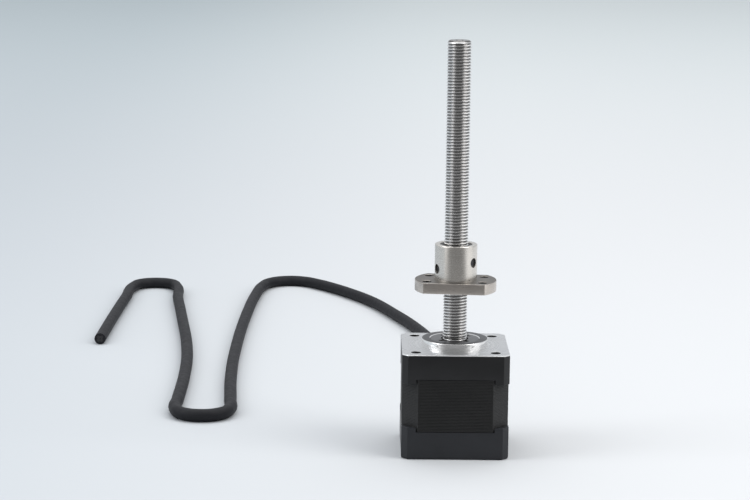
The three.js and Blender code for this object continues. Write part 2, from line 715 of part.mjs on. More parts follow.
place('lead_screw', leadScrew(), screwSteel, screwGroup);
const frontCore = rotorCore(MAGNET_TOP + SEAM, STACK_TOP);
const rearCore = rotorCore(STACK_BOTTOM, MAGNET_BOTTOM - SEAM);
place('rotor_core_front', frontCore, siliconSteel, screwGroup);
const magnetRing = ring(SLEEVE_BORE, MAGNET_RADIUS, MAGNET_BOTTOM, MAGNET_TOP, ROUND);
place('rotor_magnet', magnetRing, magnet, screwGroup);
const rearCoreMesh = place('rotor_core_rear', rearCore, siliconSteel, screwGroup);
rearCoreMesh.rotation.z = TOOTH_PITCH / 2; // the two cores are half a tooth out of step
place('front_bearing_inner_race', innerRace(FRONT_BEARING), bearingSteel, screwGroup);
place('rear_bearing_inner_race', innerRace(REAR_BEARING), bearingSteel, screwGroup);
const spacer = ring(SLEEVE_BORE, SPACER_RADIUS, STACK_TOP + SEAM, FRONT_BEARING.bottom - SEAM, ROUND);
place('shaft_spacer', spacer, springSteel, screwGroup);

// ---- Ball nut ----

const nutGroup = new THREE.Group();
nutGroup.position.z = NUT_BOTTOM;
part.add(nutGroup);

function flangeShape() {
  const reach = Math.asin(FLANGE_FLAT / FLANGE_RADIUS);
  const shape = new THREE.Shape();
  shape.absarc(0, 0, FLANGE_RADIUS, -reach, reach);
  shape.absarc(0, 0, FLANGE_RADIUS, Math.PI - reach, Math.PI + reach);
  shape.closePath();
  for (const angle of FLANGE_HOLE_ANGLES) {
    const at = polar(FLANGE_HOLE_CIRCLE, THREE.MathUtils.degToRad(angle));
    const hole = new THREE.Path();
    hole.absarc(at.x, at.y, FLANGE_HOLE_RADIUS, 0, 2 * Math.PI, true);
    shape.holes.push(hole);
  }
  return shape;
}

function radialPlug(radius, from, to, port) {
  const height = FLANGE_THICKNESS + port.height;
  const plug = disc(radius, from, to, HOLE_ROUND).rotate([0, 90, 0]);
  return plug.rotate([0, 0, port.angle]).translate([0, 0, height]);
}

function nutBody() {
  const recess = WIPER_RADIUS + 2 * FIT;
  const recessDepth = WIPER_THICKNESS + GAP;
  const barrel = turned([
    [0, 0],
    [NUT_RADIUS, 0],
    [NUT_RADIUS, NUT_LENGTH - EDGE],
    [NUT_RADIUS - EDGE, NUT_LENGTH],
    [0, NUT_LENGTH],
  ], LARGE_ROUND);
  return cut(
    joined(prism(flangeShape(), 0, FLANGE_THICKNESS, 7), barrel),
    disc(NUT_BORE, -PAST, NUT_LENGTH + PAST, ROUND),
    disc(recess, -PAST, recessDepth, ROUND),
    disc(recess, NUT_LENGTH - recessDepth, NUT_LENGTH + PAST, ROUND),
    ...PORTS.map((port) => radialPlug(PORT_RADIUS, NUT_BORE - PAST, NUT_RADIUS + PAST, port)),
  );
}

function wiper(bottom) {
  return ring(SCREW_RADIUS + 2 * FIT, WIPER_RADIUS - FIT, bottom, bottom + WIPER_THICKNESS, ROUND);
}

// One circuit of balls: a helical string in the groove between screw and nut. It stops short of the
// deflector on both sides, which carries each ball back over the crest between two turns.
function ballCircuit(port) {
  const deflectorAngle = THREE.MathUtils.degToRad(port.angle) + NUT_YAW;
  const clearAngle = 0.5;
  const steps = 18;
  const grooveFoot = THREAD_BOTTOM - THREAD_OVERRUN + LEAD / 2 - NUT_BOTTOM;
  const heightAt = (angle) => grooveFoot + (LEAD * angle) / (2 * Math.PI);
  const middle = heightAt(deflectorAngle + Math.PI);
  const turnsUp = Math.round((FLANGE_THICKNESS + port.height - middle) / LEAD);
  const points = [];
  for (let i = 0; i <= steps; i += 1) {
    const angle = deflectorAngle + clearAngle + ((2 * Math.PI - 2 * clearAngle) * i) / steps;
    const { x, y } = polar(NUT_BALL_CIRCLE, angle);
    points.push(new THREE.Vector3(x, y, heightAt(angle) + LEAD * turnsUp));
  }
  return tube(new THREE.CatmullRomCurve3(points), NUT_BALL, WIRE_ROUND, steps);
}

const nutBodyMesh = place('nut_body', nutBody(), nickelSteel, nutGroup);
nutBodyMesh.rotation.z = NUT_YAW;
place('nut_wiper_lower', wiper(WIPER_SINK), blackPlastic, nutGroup);
place('nut_wiper_upper', wiper(NUT_LENGTH - WIPER_THICKNESS - WIPER_SINK), blackPlastic, nutGroup);
PORTS.forEach((port, i) => {
  const plug = radialPlug(PORT_RADIUS - 2 * FIT, DEFLECTOR_INNER, DEFLECTOR_OUTER, port);
  const deflector = place(`deflector_${i + 1}`, plug, blackPlastic, nutGroup);
  deflector.rotation.z = NUT_YAW;
  place(`ball_circuit_${i + 1}`, ballCircuit(port), bearingSteel, nutGroup);
});

export default part;
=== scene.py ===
import json
import math
import random

import bmesh
import bpy
from mathutils import Matrix, Vector


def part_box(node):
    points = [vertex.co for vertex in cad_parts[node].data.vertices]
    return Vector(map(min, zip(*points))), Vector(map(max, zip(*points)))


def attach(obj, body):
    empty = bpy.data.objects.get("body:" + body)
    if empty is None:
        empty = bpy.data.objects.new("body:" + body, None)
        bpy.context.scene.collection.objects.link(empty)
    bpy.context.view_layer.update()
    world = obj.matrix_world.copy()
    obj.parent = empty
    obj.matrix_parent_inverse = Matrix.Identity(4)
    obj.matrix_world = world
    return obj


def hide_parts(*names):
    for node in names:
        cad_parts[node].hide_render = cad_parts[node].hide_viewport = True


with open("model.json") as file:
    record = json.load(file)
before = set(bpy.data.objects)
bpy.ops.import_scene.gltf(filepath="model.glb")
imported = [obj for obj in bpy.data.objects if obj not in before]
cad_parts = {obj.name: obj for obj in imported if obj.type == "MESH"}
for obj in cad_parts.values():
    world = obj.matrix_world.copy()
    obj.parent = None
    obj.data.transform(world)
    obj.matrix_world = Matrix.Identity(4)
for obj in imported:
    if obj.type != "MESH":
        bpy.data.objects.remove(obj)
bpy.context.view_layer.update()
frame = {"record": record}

# The looks of a 35 mm stepper motor with its ball screw, ball nut and lead cable. Shapes are drawn
# in millimetres, in the part's frame, and scaled to metres when their object is made.

MM = 0.001
TURN = 2 * math.pi
RECORD = frame["record"]
BODY_OF = {node: body for body, nodes in RECORD["behaviour"]["bodies"].items() for node in nodes}


def extent(node):
    """The lowest and highest corners of a CAD node, in millimetres."""
    low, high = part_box(node)
    return low / MM, high / MM


# ---- Sizes in millimetres, from the frame where it holds them ----

FRONT_CAP_LOW, FRONT_CAP_HIGH = extent("front_cap")
REAR_CAP_HIGH = extent("rear_cap")[1]
STACK_LOW, STACK_HIGH = extent("stator_core")
BOARD_LOW, BOARD_HIGH = extent("lead_board")
SCREW_LOW, SCREW_HIGH = extent("lead_screw")
NUT_LOW, NUT_HIGH = extent("nut_body")
FRONT_RACE_LOW, FRONT_RACE_HIGH = extent("front_bearing_outer_race")
REAR_RACE_LOW, REAR_RACE_HIGH = extent("rear_bearing_outer_race")
RETAINER_LOW, RETAINER_HIGH = extent("bearing_retainer")
GLAND_LOW, GLAND_HIGH = extent("cable_gland")

MOTOR_SIDE = FRONT_CAP_HIGH.x - FRONT_CAP_LOW.x
CORNER_CUT = 2
STACK_SIDE = STACK_HIGH.x - STACK_LOW.x
STACK_MIDDLE = (STACK_LOW.z + STACK_HIGH.z) / 2
STACK_HALF = (STACK_HIGH.z - STACK_LOW.z) / 2
STACK_CORNER_CUT = 5.2
SKIRT_DEPTH = 1.6
SKIRT_INNER_CUT = STACK_CORNER_CUT - 0.5
FRONT_CAP_SEAT = FRONT_CAP_LOW.z + SKIRT_DEPTH
REAR_CAP_SEAT = REAR_CAP_HIGH.z - SKIRT_DEPTH
BOSS_RADIUS = 11
BOSS_HEIGHT = 2.2
BOSS_TOP = FRONT_CAP_HIGH.z
FACE_TOP = BOSS_TOP - BOSS_HEIGHT
CAVITY_RADIUS = 15.5
PASSAGE_RADIUS = 7
REAR_FLOOR = 2.4
SEAT_WALL = 2
BOLT_OFFSET = 13
BOLT_HOLE = 1.5
BOLT_SHANK = 1.25
BOLT_HEAD = 2.6
BOLT_HEAD_HEIGHT = 1.8
BOLT_SINK = 2.75
BOLT_SINK_DEPTH = 2.3
BOLT_SOCKET = 1.15
BOLT_SOCKET_DEPTH = 1.1
BOLT_CORNERS = [(-1, -1), (1, -1), (1, 1), (-1, 1)]
BOLT_PLACES = [(x * BOLT_OFFSET, y * BOLT_OFFSET) for x, y in BOLT_CORNERS]

POLES = 8
POLE_OFFSET = TURN / (2 * POLES)
STATOR_BORE = 10.1
SLOT_RADIUS = 15.45
SHOE_RADIUS = 11.3
NECK_HALF = 1.7
TEETH_PER_POLE = 6
ROTOR_TEETH = 50
ROTOR_RADIUS = 10
TOOTH_PITCH = TURN / ROTOR_TEETH
TOOTH_DEPTH = 0.5
SHEET = 0.5

SCREW_RADIUS = 4
SCREW_CORE = 3.4
LEAD = 1
THREAD_BOTTOM = BOSS_TOP + 0.4
CREST_HEIGHT = 0.6
GROOVE_RADIUS = 0.37
GROOVE_CENTRE = 4.03
SHAFT_RADIUS = 3.95
REAR_JOURNAL = 2.45
REAR_SHOULDER = 7.9
SLEEVE_BORE = 4.05

NUT_YAW = math.radians(-5.6)
NUT_RADIUS = 7
NUT_BORE = 4.6
FLANGE_RADIUS = 13.5
FLANGE_FLAT = 9
FLANGE_TOP = NUT_LOW.z + 3.5
FLANGE_HOLE_CIRCLE = 10.5
FLANGE_HOLE = 1.5
FLANGE_HOLE_ANGLES = [30, 150, 210, 330]
WIPER_RADIUS = 5.2
PORT_RADIUS = 1.6
PORTS = [(-150, 3.9), (-30, 6.2), (90, 8.6)]
BALL_RADIUS = 0.38
BALL_CIRCLE = 4.1

CABLE_RADIUS = 2.25
WIRE_RADIUS = 0.35
GLAND_NECK = 2.5
OUTLET_RADIUS = 2.6
CABLE_LIE = 2.3
GLAND_AXIS = (GLAND_LOW.z + GLAND_HIGH.z) / 2
# Turns a shape drawn up the Z axis so that it points out of the rear cap's cable outlet.
CABLE_WAY = Matrix.Translation((0, 0, GLAND_AXIS)) @ Matrix.Rotation(-math.pi / 2, 4, "X")
CABLE_START = GLAND_HIGH.y + 0.3

# The cable's centreline: out of the gland, down to the ground and along it in two loose bends.
CABLE_ON_GROUND = [
    (0.5, 64), (1, 92), (0.5, 122), (-3, 152), (-9.5, 181), (-16.8, 204.5), (-26, 230),
    (-36, 249), (-43, 259.8), (-50, 268.8), (-57.2, 275), (-65, 275.6), (-71.4, 270.5),
    (-74.6, 261), (-76.4, 244), (-78, 215), (-79.6, 130), (-78.8, 85), (-77.2, 52),
    (-76.8, 39.5), (-79.6, 32.8), (-86.3, 30), (-93, 32.8), (-95.8, 39.5), (-95.9, 52),
    (-96.2, 90), (-98, 130), (-105.6, 203), (-109.4, 236), (-111.5, 259), (-114.3, 265.7),
    (-121, 268.5), (-127.7, 265.7), (-130.5, 259), (-131.6, 236), (-132.8, 200), (-133.9, 152),
]
CABLE_ROUTE = [
    (0, CABLE_START, GLAND_AXIS),
    (0, 34, 4.6),
    (0, 48, 2.7),
    *((x, y, CABLE_LIE) for x, y in CABLE_ON_GROUND),
]

# ---- Materials ----


class Finish:
    """A Principled material whose colour, roughness and bump vary over the surface."""

    def __init__(self, name, colour, roughness, metallic=0.0, sockets=None):
        self.material = bpy.data.materials.new(name)
        self.material.use_nodes = True
        self.material.diffuse_color = (*colour, 1)
        self.nodes = self.material.node_tree.nodes
        self.bsdf = self.nodes["Principled BSDF"]
        fixed = {"Base Color": (*colour, 1), "Roughness": roughness, "Metallic": metallic}
        for socket, value in {**fixed, **(sockets or {})}.items():
            self.bsdf.inputs[socket].default_value = value
        self.place = self.add("ShaderNodeTexCoord", {}).outputs["Object"]

    def add(self, kind, inputs, **settings):
        node = self.nodes.new(kind)
        for setting, value in settings.items():
            setattr(node, setting, value)
        for socket, value in inputs.items():
            if isinstance(value, bpy.types.NodeSocket):
                self.material.node_tree.links.new(value, node.inputs[socket])
            else:
                node.inputs[socket].default_value = value
        return node

    def feed(self, socket, output):
        """A socket of the Principled shader takes its value from a node."""
        self.material.node_tree.links.new(output, self.bsdf.inputs[socket])
        return self

    def noise(self, per_mm, stretch=(1, 1, 1), detail=3.0):
        """Soft spots, so many to a millimetre, drawn out where stretch is small."""
        placed = self.add("ShaderNodeMapping", {"Vector": self.place, "Scale": stretch})
        inputs = {"Vector": placed.outputs[0], "Scale": per_mm / MM, "Detail": detail}
        return self.add("ShaderNodeTexNoise", inputs).outputs[0]

    def axis_distance(self):
        flat = self.add("ShaderNodeMapping", {"Vector": self.place, "Scale": (1, 1, 0)})
        length = self.add("ShaderNodeVectorMath", {0: flat.outputs[0]}, operation="LENGTH")
        return length.outputs["Value"]

    def rings(self, per_mm):
        """Concentric tool marks around the Z axis."""
        inputs = {"W": self.axis_distance(), "Scale": per_mm / MM, "Detail": 2.0}
        return self.add("ShaderNodeTexNoise", inputs, noise_dimensions="1D").outputs[0]

    def ranged(self, value, start, end, low=0, high=1, easing="LINEAR"):
        """Goes from low to high as the value goes from start to end."""
        inputs = {"Value": value, "From Min": start, "From Max": end, "To Min": low, "To Max": high}
        return self.add("ShaderNodeMapRange", inputs, interpolation_type=easing).outputs[0]

    def colour(self, value, dark, light):
        """The base colour goes from dark to light with a pattern."""
        ramp = self.add("ShaderNodeValToRGB", {"Fac": value})
        ramp.color_ramp.elements[0].color = (*dark, 1)
        ramp.color_ramp.elements[1].color = (*light, 1)
        return self.feed("Base Color", ramp.outputs[0])

    def roughness(self, value, low, high):
        """The roughness goes from low to high with a pattern."""
        return self.feed("Roughness", self.ranged(value, 0.3, 0.7, low, high))

    def bump(self, value, depth):
        """Relief of a pattern, its depth in millimetres."""
        node = self.add("ShaderNodeBump", {"Height": value, "Distance": depth * MM})
        return self.feed("Normal", node.outputs[0])


def tinted(colour, factor):
    return tuple(min(1, channel * factor) for channel in colour)


def painted(name, colour, roughness):
    """Satin paint: a faint orange-peel relief, with duller and shinier patches."""
    finish = Finish(name, colour, roughness, sockets={"Specular IOR Level": 0.3})
    finish.colour(finish.noise(0.12), tinted(colour, 0.7), tinted(colour, 1.3))
    finish.roughness(finish.noise(0.3), roughness - 0.06, roughness + 0.06)
    return finish.bump(finish.noise(2.5, detail=4), 0.004).material


def metal(name, colour, roughness, edge_tint):
    """Plain metal. A low edge tint keeps a dull surface dark at a flat viewing angle too."""
    tint = (edge_tint, edge_tint, edge_tint, 1)
    return Finish(name, colour, roughness, metallic=1, sockets={"Specular Tint": tint})


def turned_metal(name, colour, roughness, marks, depth=0.001, edge_tint=1.0):
    """Metal cut on a lathe: fine concentric marks on its faces."""
    finish = metal(name, colour, roughness, edge_tint)
    finish.colour(finish.noise(0.2), tinted(colour, 0.88), tinted(colour, 1.1))
    finish.roughness(finish.rings(marks), roughness - 0.06, roughness + 0.08)
    return finish.bump(finish.rings(marks), depth).material


def ground_metal(name, colour, roughness, stretch=(0.05, 0.05, 1), edge_tint=1.0):
    """Ground metal: hairlines across the Z axis, with cloudy patches."""
    finish = metal(name, colour, roughness, edge_tint)
    finish.colour(finish.noise(0.25), tinted(colour, 0.86), tinted(colour, 1.12))
    hairlines = finish.noise(2.2, stretch)
    finish.roughness(hairlines, roughness - 0.04, roughness + 0.04)
    return finish.bump(hairlines, 0.0002).material


def sheet_metal(name, colour, roughness):
    """Punched or rolled sheet: cloudy colour and an irregular, slightly rough surface."""
    finish = Finish(name, colour, roughness, metallic=0.9)
    finish.colour(finish.noise(0.5), tinted(colour, 0.8), tinted(colour, 1.2))
    finish.roughness(finish.noise(1.5), roughness - 0.1, roughness + 0.1)
    return finish.bump(finish.noise(4), 0.004).material


def moulded(name, colour, roughness, grain=3.0, depth=0.006, specular=0.5):
    """Moulded plastic or rubber with a fine grain."""
    finish = Finish(name, colour, roughness, sockets={"Specular IOR Level": specular})
    finish.colour(finish.noise(0.15), tinted(colour, 0.85), tinted(colour, 1.15))
    finish.roughness(finish.noise(0.6), roughness - 0.06, roughness + 0.06)
    return finish.bump(finish.noise(grain, detail=5), depth).material


def shaded_groove_screw_metal():
    """Polished thread steel, with painted shade darkening the foot of the groove."""
    finish = Finish("screw_steel", (0.8, 0.79, 0.78), 0.22, metallic=1)
    # Painted shade: the colour goes dark towards the foot of the groove.
    foot = GROOVE_CENTRE - GROOVE_RADIUS
    near, far = (foot + 0.1 * GROOVE_RADIUS) * MM, (foot + 0.7 * GROOVE_RADIUS) * MM
    depth = finish.ranged(finish.axis_distance(), near, far)
    finish.colour(depth, (0.19, 0.185, 0.18), (0.95, 0.94, 0.93))
    return finish.roughness(finish.noise(1.2), 0.2, 0.26).material


def board_finish():
    """Solder mask over copper tracks."""
    finish = Finish("circuit_board", (0.03, 0.12, 0.06), 0.4)
    tracks = finish.rings(0.9)
    finish.colour(tracks, (0.015, 0.09, 0.04), (0.06, 0.2, 0.09))
    return finish.bump(tracks, 0.02).material


BLACK_PAINT = painted("black_painted_cap", (0.009, 0.009, 0.0098), 0.42)
BLUE_BLACK_PAINT = painted("black_painted_rear_cap", (0.0155, 0.0165, 0.0195), 0.4)
STACK_PAINT = painted("stator_laminations", (0.0095, 0.0094, 0.0094), 0.5)
STACK_CORNER_PAINT = painted("stator_corners", (0.02, 0.02, 0.0203), 0.5)
FACE_METAL = turned_metal("machined_face", (0.66, 0.665, 0.67), 0.3, 1.2)
BOSS_METAL = turned_metal("machined_boss_side", (0.9, 0.895, 0.885), 0.14, 2)
# Painted shade: the top of the boss is a darker copy of the machined aluminium, with a low edge
# tint.
SHADED_BOSS_TOP_METAL = turned_metal("machined_boss_top_painted_shade", (0.27, 0.272, 0.278), 0.34, 1.5, edge_tint=0.5)
CAST_METAL = moulded("cast_inside", (0.45, 0.45, 0.46), 0.5)
# Painted shade: a near-black finish laid on the walls of holes and notches, where shade falls.
PAINTED_HOLE_SHADE = moulded("painted_hole_shade", (0.012, 0.012, 0.012), 0.6)
NICKEL = ground_metal("nickel_steel", (0.68, 0.65, 0.605), 0.26)
FLANGE_FACE = ground_metal("nickel_flange_face", (0.36, 0.34, 0.32), 0.34, (1, 0.05, 1), 0.5)
FLANGE_RIM = ground_metal("nickel_flange_rim", (0.55, 0.505, 0.46), 0.3)
SCREW_METAL = shaded_groove_screw_metal()
BEARING_METAL = turned_metal("bearing_steel", (0.75, 0.755, 0.76), 0.14, 3, 0.0005)
SHIELD_METAL = turned_metal("shield_steel", (0.12, 0.12, 0.125), 0.36, 2, edge_tint=0.4)
RETAINER_METAL = turned_metal("retainer_steel", (0.34, 0.342, 0.348), 0.34, 1.5, edge_tint=0.55)
SPRING_METAL = ground_metal("spring_steel", (0.45, 0.45, 0.46), 0.3)
OXIDE_METAL = sheet_metal("black_oxide_steel", (0.07, 0.07, 0.073), 0.38)
ROTOR_METAL = sheet_metal("rotor_steel", (0.38, 0.39, 0.4), 0.38)
MAGNET_METAL = sheet_metal("magnet", (0.22, 0.21, 0.21), 0.45)
CAGE_BRASS = ground_metal("brass_cage", (0.66, 0.46, 0.18), 0.3)
COPPER = sheet_metal("copper_winding", (0.66, 0.27, 0.12), 0.3)
NYLON = moulded("nylon_insulator", (0.78, 0.75, 0.66), 0.5)
BOARD = board_finish()
BLACK_PLASTIC = moulded("black_plastic", (0.012, 0.012, 0.013), 0.42)
CABLE_JACKET = moulded("cable_jacket", (0.0085, 0.0088, 0.0112), 0.6, 1.6, 0.008, specular=0.22)
GLAND_RUBBER = moulded("rubber_gland", (0.009, 0.009, 0.01), 0.6, specular=0.3)
WIRE_COLOURS = {
    "lead_black": (0.02, 0.02, 0.02),
    "lead_green": (0.03, 0.22, 0.07),
    "lead_red": (0.45, 0.03, 0.03),
    "lead_blue": (0.03, 0.1, 0.4),
}
WIRE_FINISHES = {name: moulded(name, colour, 0.4) for name, colour in WIRE_COLOURS.items()}

# ---- Mesh helpers ----


def added(name, data):
    """A new object in the scene."""
    item = bpy.data.objects.new(name, data)
    bpy.context.scene.collection.objects.link(item)
    return item


def smoothed(piece, sharp=32):
    """Shades a piece smooth, with its edges sharp above that angle."""
    piece.data.shade_smooth()
    piece.data.set_sharp_from_angle(angle=math.radians(sharp))
    return piece


def finished(name, bm, *materials):
    """An object made of a bmesh drawn in millimetres."""
    bmesh.ops.scale(bm, vec=(MM, MM, MM), verts=bm.verts)
    bmesh.ops.recalc_face_normals(bm, faces=bm.faces)
    mesh = bpy.data.meshes.new(name)
    bm.to_mesh(mesh)
    bm.free()
    for material in materials:
        mesh.materials.append(material)
    return smoothed(added(name, mesh))


def stands_for(piece, *nodes):
    """The piece replaces these CAD nodes, with the body of the first."""
    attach(piece, BODY_OF[nodes[0]])
    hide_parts(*nodes)
    return piece


def skin(bm, lower, upper):
    """Faces between two closed rings of vertices; a ring of one vertex is a tip."""
    count = max(len(lower), len(upper))
    for i in range(count):
        j = (i + 1) % count
        if len(lower) == 1:
            bm.faces.new((lower[0], upper[j], upper[i]))
        elif len(upper) == 1:
            bm.faces.new((lower[i], lower[j], upper[0]))
        else:
            bm.faces.new((lower[i], lower[j], upper[j], upper[i]))


def filleted(corners, steps=4):
    """A closed outline. A corner with a third number is rounded to that radius."""
    points = []
    for i, (x, y, *rounding) in enumerate(corners):
        corner = Vector((x, y))
        if not rounding:
            points.append(corner)
            continue
        before = Vector(corners[i - 1][:2]) - corner
        after = Vector(corners[(i + 1) % len(corners)][:2]) - corner
        half_angle = before.angle(after) / 2
        reach = min(rounding[0] / math.tan(half_angle), before.length * 0.49, after.length * 0.49)
        start = corner + before.normalized() * reach
        end = corner + after.normalized() * reach
        for step in range(steps + 1):
            s = step / steps
            points.append(start * (1 - s) ** 2 + corner * 2 * s * (1 - s) + end * s**2)
    return points


def rod_corners(radius, low, high, *edge):
    """The section of a plain rod, whose upper edge may be rounded."""
    return [(0, low), (radius, low), (radius, high, *edge), (0, high)]


def ring_corners(inner, outer, low, high, edge):
    """The section of a plain ring, with rounded edges."""
    return [(inner, low, edge), (outer, low, edge), (outer, high, edge), (inner, high, edge)]


def lathe(corners, sides=96):
    """A solid of revolution about Z from a closed outline of (radius, height) corners."""
    bm = bmesh.new()
    rings = []
    for radius, height in filleted(corners):
        if radius < 1e-6:
            rings.append([bm.verts.new((0, 0, height))])
            continue
        rings.append([bm.verts.new((*point, height)) for point in circle(radius, sides=sides)])
    for lower, upper in zip(rings, rings[1:] + rings[:1]):
        if len(lower) > 1 or len(upper) > 1:
            skin(bm, lower, upper)
    return bm


def moved_left(points, distance):
    """A closed outline moved to the left of its own direction, so into the material."""
    moved = []
    for i, point in enumerate(points):
        before = (point - points[i - 1]).normalized()
        after = (points[(i + 1) % len(points)] - point).normalized()
        along = (before + after).normalized()
        miter = distance / max(0.4, along.dot(after))
        moved.append(point + Vector((-along.y, along.x)) * miter)
    return moved


def slab(loops, levels):
    """A solid whose walls follow closed outlines through levels of (height, inset). Outer outlines
    run anticlockwise and holes clockwise."""
    bm = bmesh.new()
    ends = {0: [], -1: []}
    for loop in loops:
        rings = []
        for height, inset in levels:
            rings.append([bm.verts.new((*point, height)) for point in moved_left(loop, inset)])
        for lower, upper in zip(rings, rings[1:]):
            skin(bm, lower, upper)
        for end, edges in ends.items():
            ring = rings[end]
            edges.extend(bm.edges.get((ring[i - 1], ring[i])) for i in range(len(ring)))
    for edges in ends.values():
        bmesh.ops.triangle_fill(bm, use_beauty=True, edges=edges, normal=(0, 0, 1))
    return bm


def rounded_levels(bottom, top, low_edge, high_edge, steps=3):
    """Levels of a straight wall with rounded lower and upper edges."""
    angles = [math.pi / 2 * step / steps for step in range(steps + 1)]
    arc = [(1 - math.cos(angle), 1 - math.sin(angle)) for angle in angles]
    low = [(bottom + low_edge * up, low_edge * inset) for up, inset in arc]
    high = [(top - high_edge * down, high_edge * inset) for down, inset in reversed(arc)]
    return low + high


def circle(radius, centre=(0, 0), sides=64):
    return [Vector(centre) + polar(radius, TURN * i / sides) for i in range(sides)]


def hole(radius, centre=(0, 0), sides=48):
    return circle(radius, centre, sides)[::-1]


def bolt_holes(radius):
    return [hole(radius, place) for place in BOLT_PLACES]


def polar(radius, angle):
    return Vector((radius * math.cos(angle), radius * math.sin(angle)))


def turned_to(bm, matrix):
    bmesh.ops.transform(bm, matrix=matrix, verts=bm.verts)
    return bm


def combined(piece, bm, operation):
    """Joins a bmesh to a piece (UNION) or cuts it out of it (DIFFERENCE)."""
    tool = finished("tool", bm)
    modifier = piece.modifiers.new("combine", "BOOLEAN")
    modifier.object = tool
    modifier.operation = operation
    modifier.solver = "EXACT"
    graph = bpy.context.evaluated_depsgraph_get()
    mesh = bpy.data.meshes.new_from_object(piece.evaluated_get(graph))
    piece.modifiers.clear()
    piece.data = mesh
    bpy.data.objects.remove(tool)


def painted_by(piece, choose):
    """Gives each face the material that choose(centre, normal) returns, in millimetres."""
    faces = piece.data.polygons
    chosen = [choose(face.center / MM, face.normal) for face in faces]
    materials = list(dict.fromkeys(chosen))
    piece.data.materials.clear()
    for material in materials:
        piece.data.materials.append(material)
    for face, material in zip(faces, chosen):
        face.material_index = materials.index(material)


# ---- Camera, at the viewing angle of the reference view ----

camera = added("camera", bpy.data.cameras.new("camera"))
bpy.context.scene.camera = camera
camera.data.sensor_width = 36
camera.data.lens = 118.8
camera.data.clip_end = 50
CAMERA_AT = Vector((-31.5, -802.8, 211.8)) * MM
CAMERA_PITCH = math.radians(10.26)
CAMERA_YAW = math.radians(-0.34)
CAMERA_ROLL = math.radians(-0.625)
camera.matrix_world = (
    Matrix.Translation(CAMERA_AT)
    @ Matrix.Rotation(CAMERA_YAW, 4, "Z")
    @ Matrix.Rotation(math.pi / 2 - CAMERA_PITCH, 4, "X")
    @ Matrix.Rotation(-CAMERA_ROLL, 4, "Z")
)

# ---- Cable, with its cut end and its gland ----


def tube_curve(name, points, radius, material):
    """A round cord as a curve through points in millimetres."""
    curve = bpy.data.curves.new(name, "CURVE")
    curve.dimensions = "3D"
    curve.resolution_u = 12
    curve.bevel_depth = radius * MM
    curve.bevel_resolution = 6
    curve.use_fill_caps = True
    spline = curve.splines.new("BEZIER")
    spline.bezier_points.add(len(points) - 1)
    for knot, point in zip(spline.bezier_points, points):
        knot.co = Vector(point) * MM
        knot.handle_left_type = "AUTO"
        knot.handle_right_type = "AUTO"
    curve.materials.append(material)
    return added(name, curve)


def gland():
    """A moulded strain relief: a shoulder against the housing, then a ribbed taper."""
    tip = GLAND_HIGH.y
    shoulder = MOTOR_SIDE / 2 + 0.05
    inner_end = GLAND_LOW.y
    ribs = 4
    taper_start = shoulder + 1.4
    step = (tip - taper_start) / ribs
    outline = [
        (0, inner_end), (GLAND_NECK, inner_end, 0.2), (GLAND_NECK, shoulder),
        (4, shoulder, 0.3), (4, taper_start, 0.5),
    ]
    for rib in range(ribs):
        foot = taper_start + rib * step
        radius = 3.8 - 0.9 * (rib + 1) / ribs
        outline += [
            (radius - 0.35, foot + 0.1 * step, 0.15), (radius - 0.35, foot + 0.4 * step, 0.15),
            (radius, foot + 0.5 * step, 0.2), (radius, foot + step, 0.2),
        ]
    outline.append((0, tip))
    bm = turned_to(lathe(outline, 64), CABLE_WAY)
    return stands_for(finished("strain_relief", bm, GLAND_RUBBER), "cable_gland")


def cut_end_cores():
    """The ends of the four insulated cores, which stand a hair out of the cable's cut end."""
    end = Vector(CABLE_ROUTE[-1])
    along = (end - Vector(CABLE_ROUTE[-2])).normalized()
    cut_end = Matrix.Translation(end) @ along.to_track_quat("Z", "Y").to_matrix().to_4x4()
    count, radius, wire = 4, 0.6, 0.28
    outline = [
        (0, -1.5), (radius, -1.5), (radius, 0.2, 0.08),
        (wire, 0.2, 0.04), (wire, 0.05), (0, 0.05),
    ]
    cores = []
    for i in range(count):
        at = polar(0.85, TURN * (i + 0.5) / count)
        core = lathe(outline, 24)
        turned_to(core, cut_end @ Matrix.Translation((at.x, at.y, 0)))
        core = finished(f"cut_core_{i + 1}", core, BLACK_PLASTIC)
        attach(core, "housing")
        cores.append(core)
    return cores


cable = stands_for(tube_curve("lead_cable", CABLE_ROUTE, CABLE_RADIUS, CABLE_JACKET), "cable")
gland()
cut_end_cores()

# ---- End caps ----


def cut_square(side, cut, rounding=0.3):
    """A square outline with its corners cut off, anticlockwise."""
    half = side / 2
    short = half - cut
    corners = [
        (half, -short), (half, short), (short, half), (-short, half),
        (-half, short), (-half, -short), (-short, -half), (short, -half),
    ]
    return filleted([(x, y, rounding) for x, y in corners], steps=5)


def skirts(bottom, top, low_edge, high_edge):
    """The four tongues that reach over the stack's cut corners."""
    half = MOTOR_SIDE / 2
    short = half - CORNER_CUT
    inner = half - SKIRT_INNER_CUT
    corner = [(half, inner), (half, short, 0.3), (short, half, 0.3), (inner, half)]
    tongues = []
    for quarter in range(4):
        turn = Matrix.Rotation(TURN * quarter / 4, 2)
        tongues.append([turn @ point for point in filleted(corner, steps=5)])
    return slab(tongues, rounded_levels(bottom, top, low_edge, high_edge))


def in_bolt_hole(centre, radius):
    """Whether a point lies in one of the four holes for the bolts."""
    spread = Vector((abs(centre.x) - BOLT_OFFSET, abs(centre.y) - BOLT_OFFSET))
    return spread.length < radius + 0.02


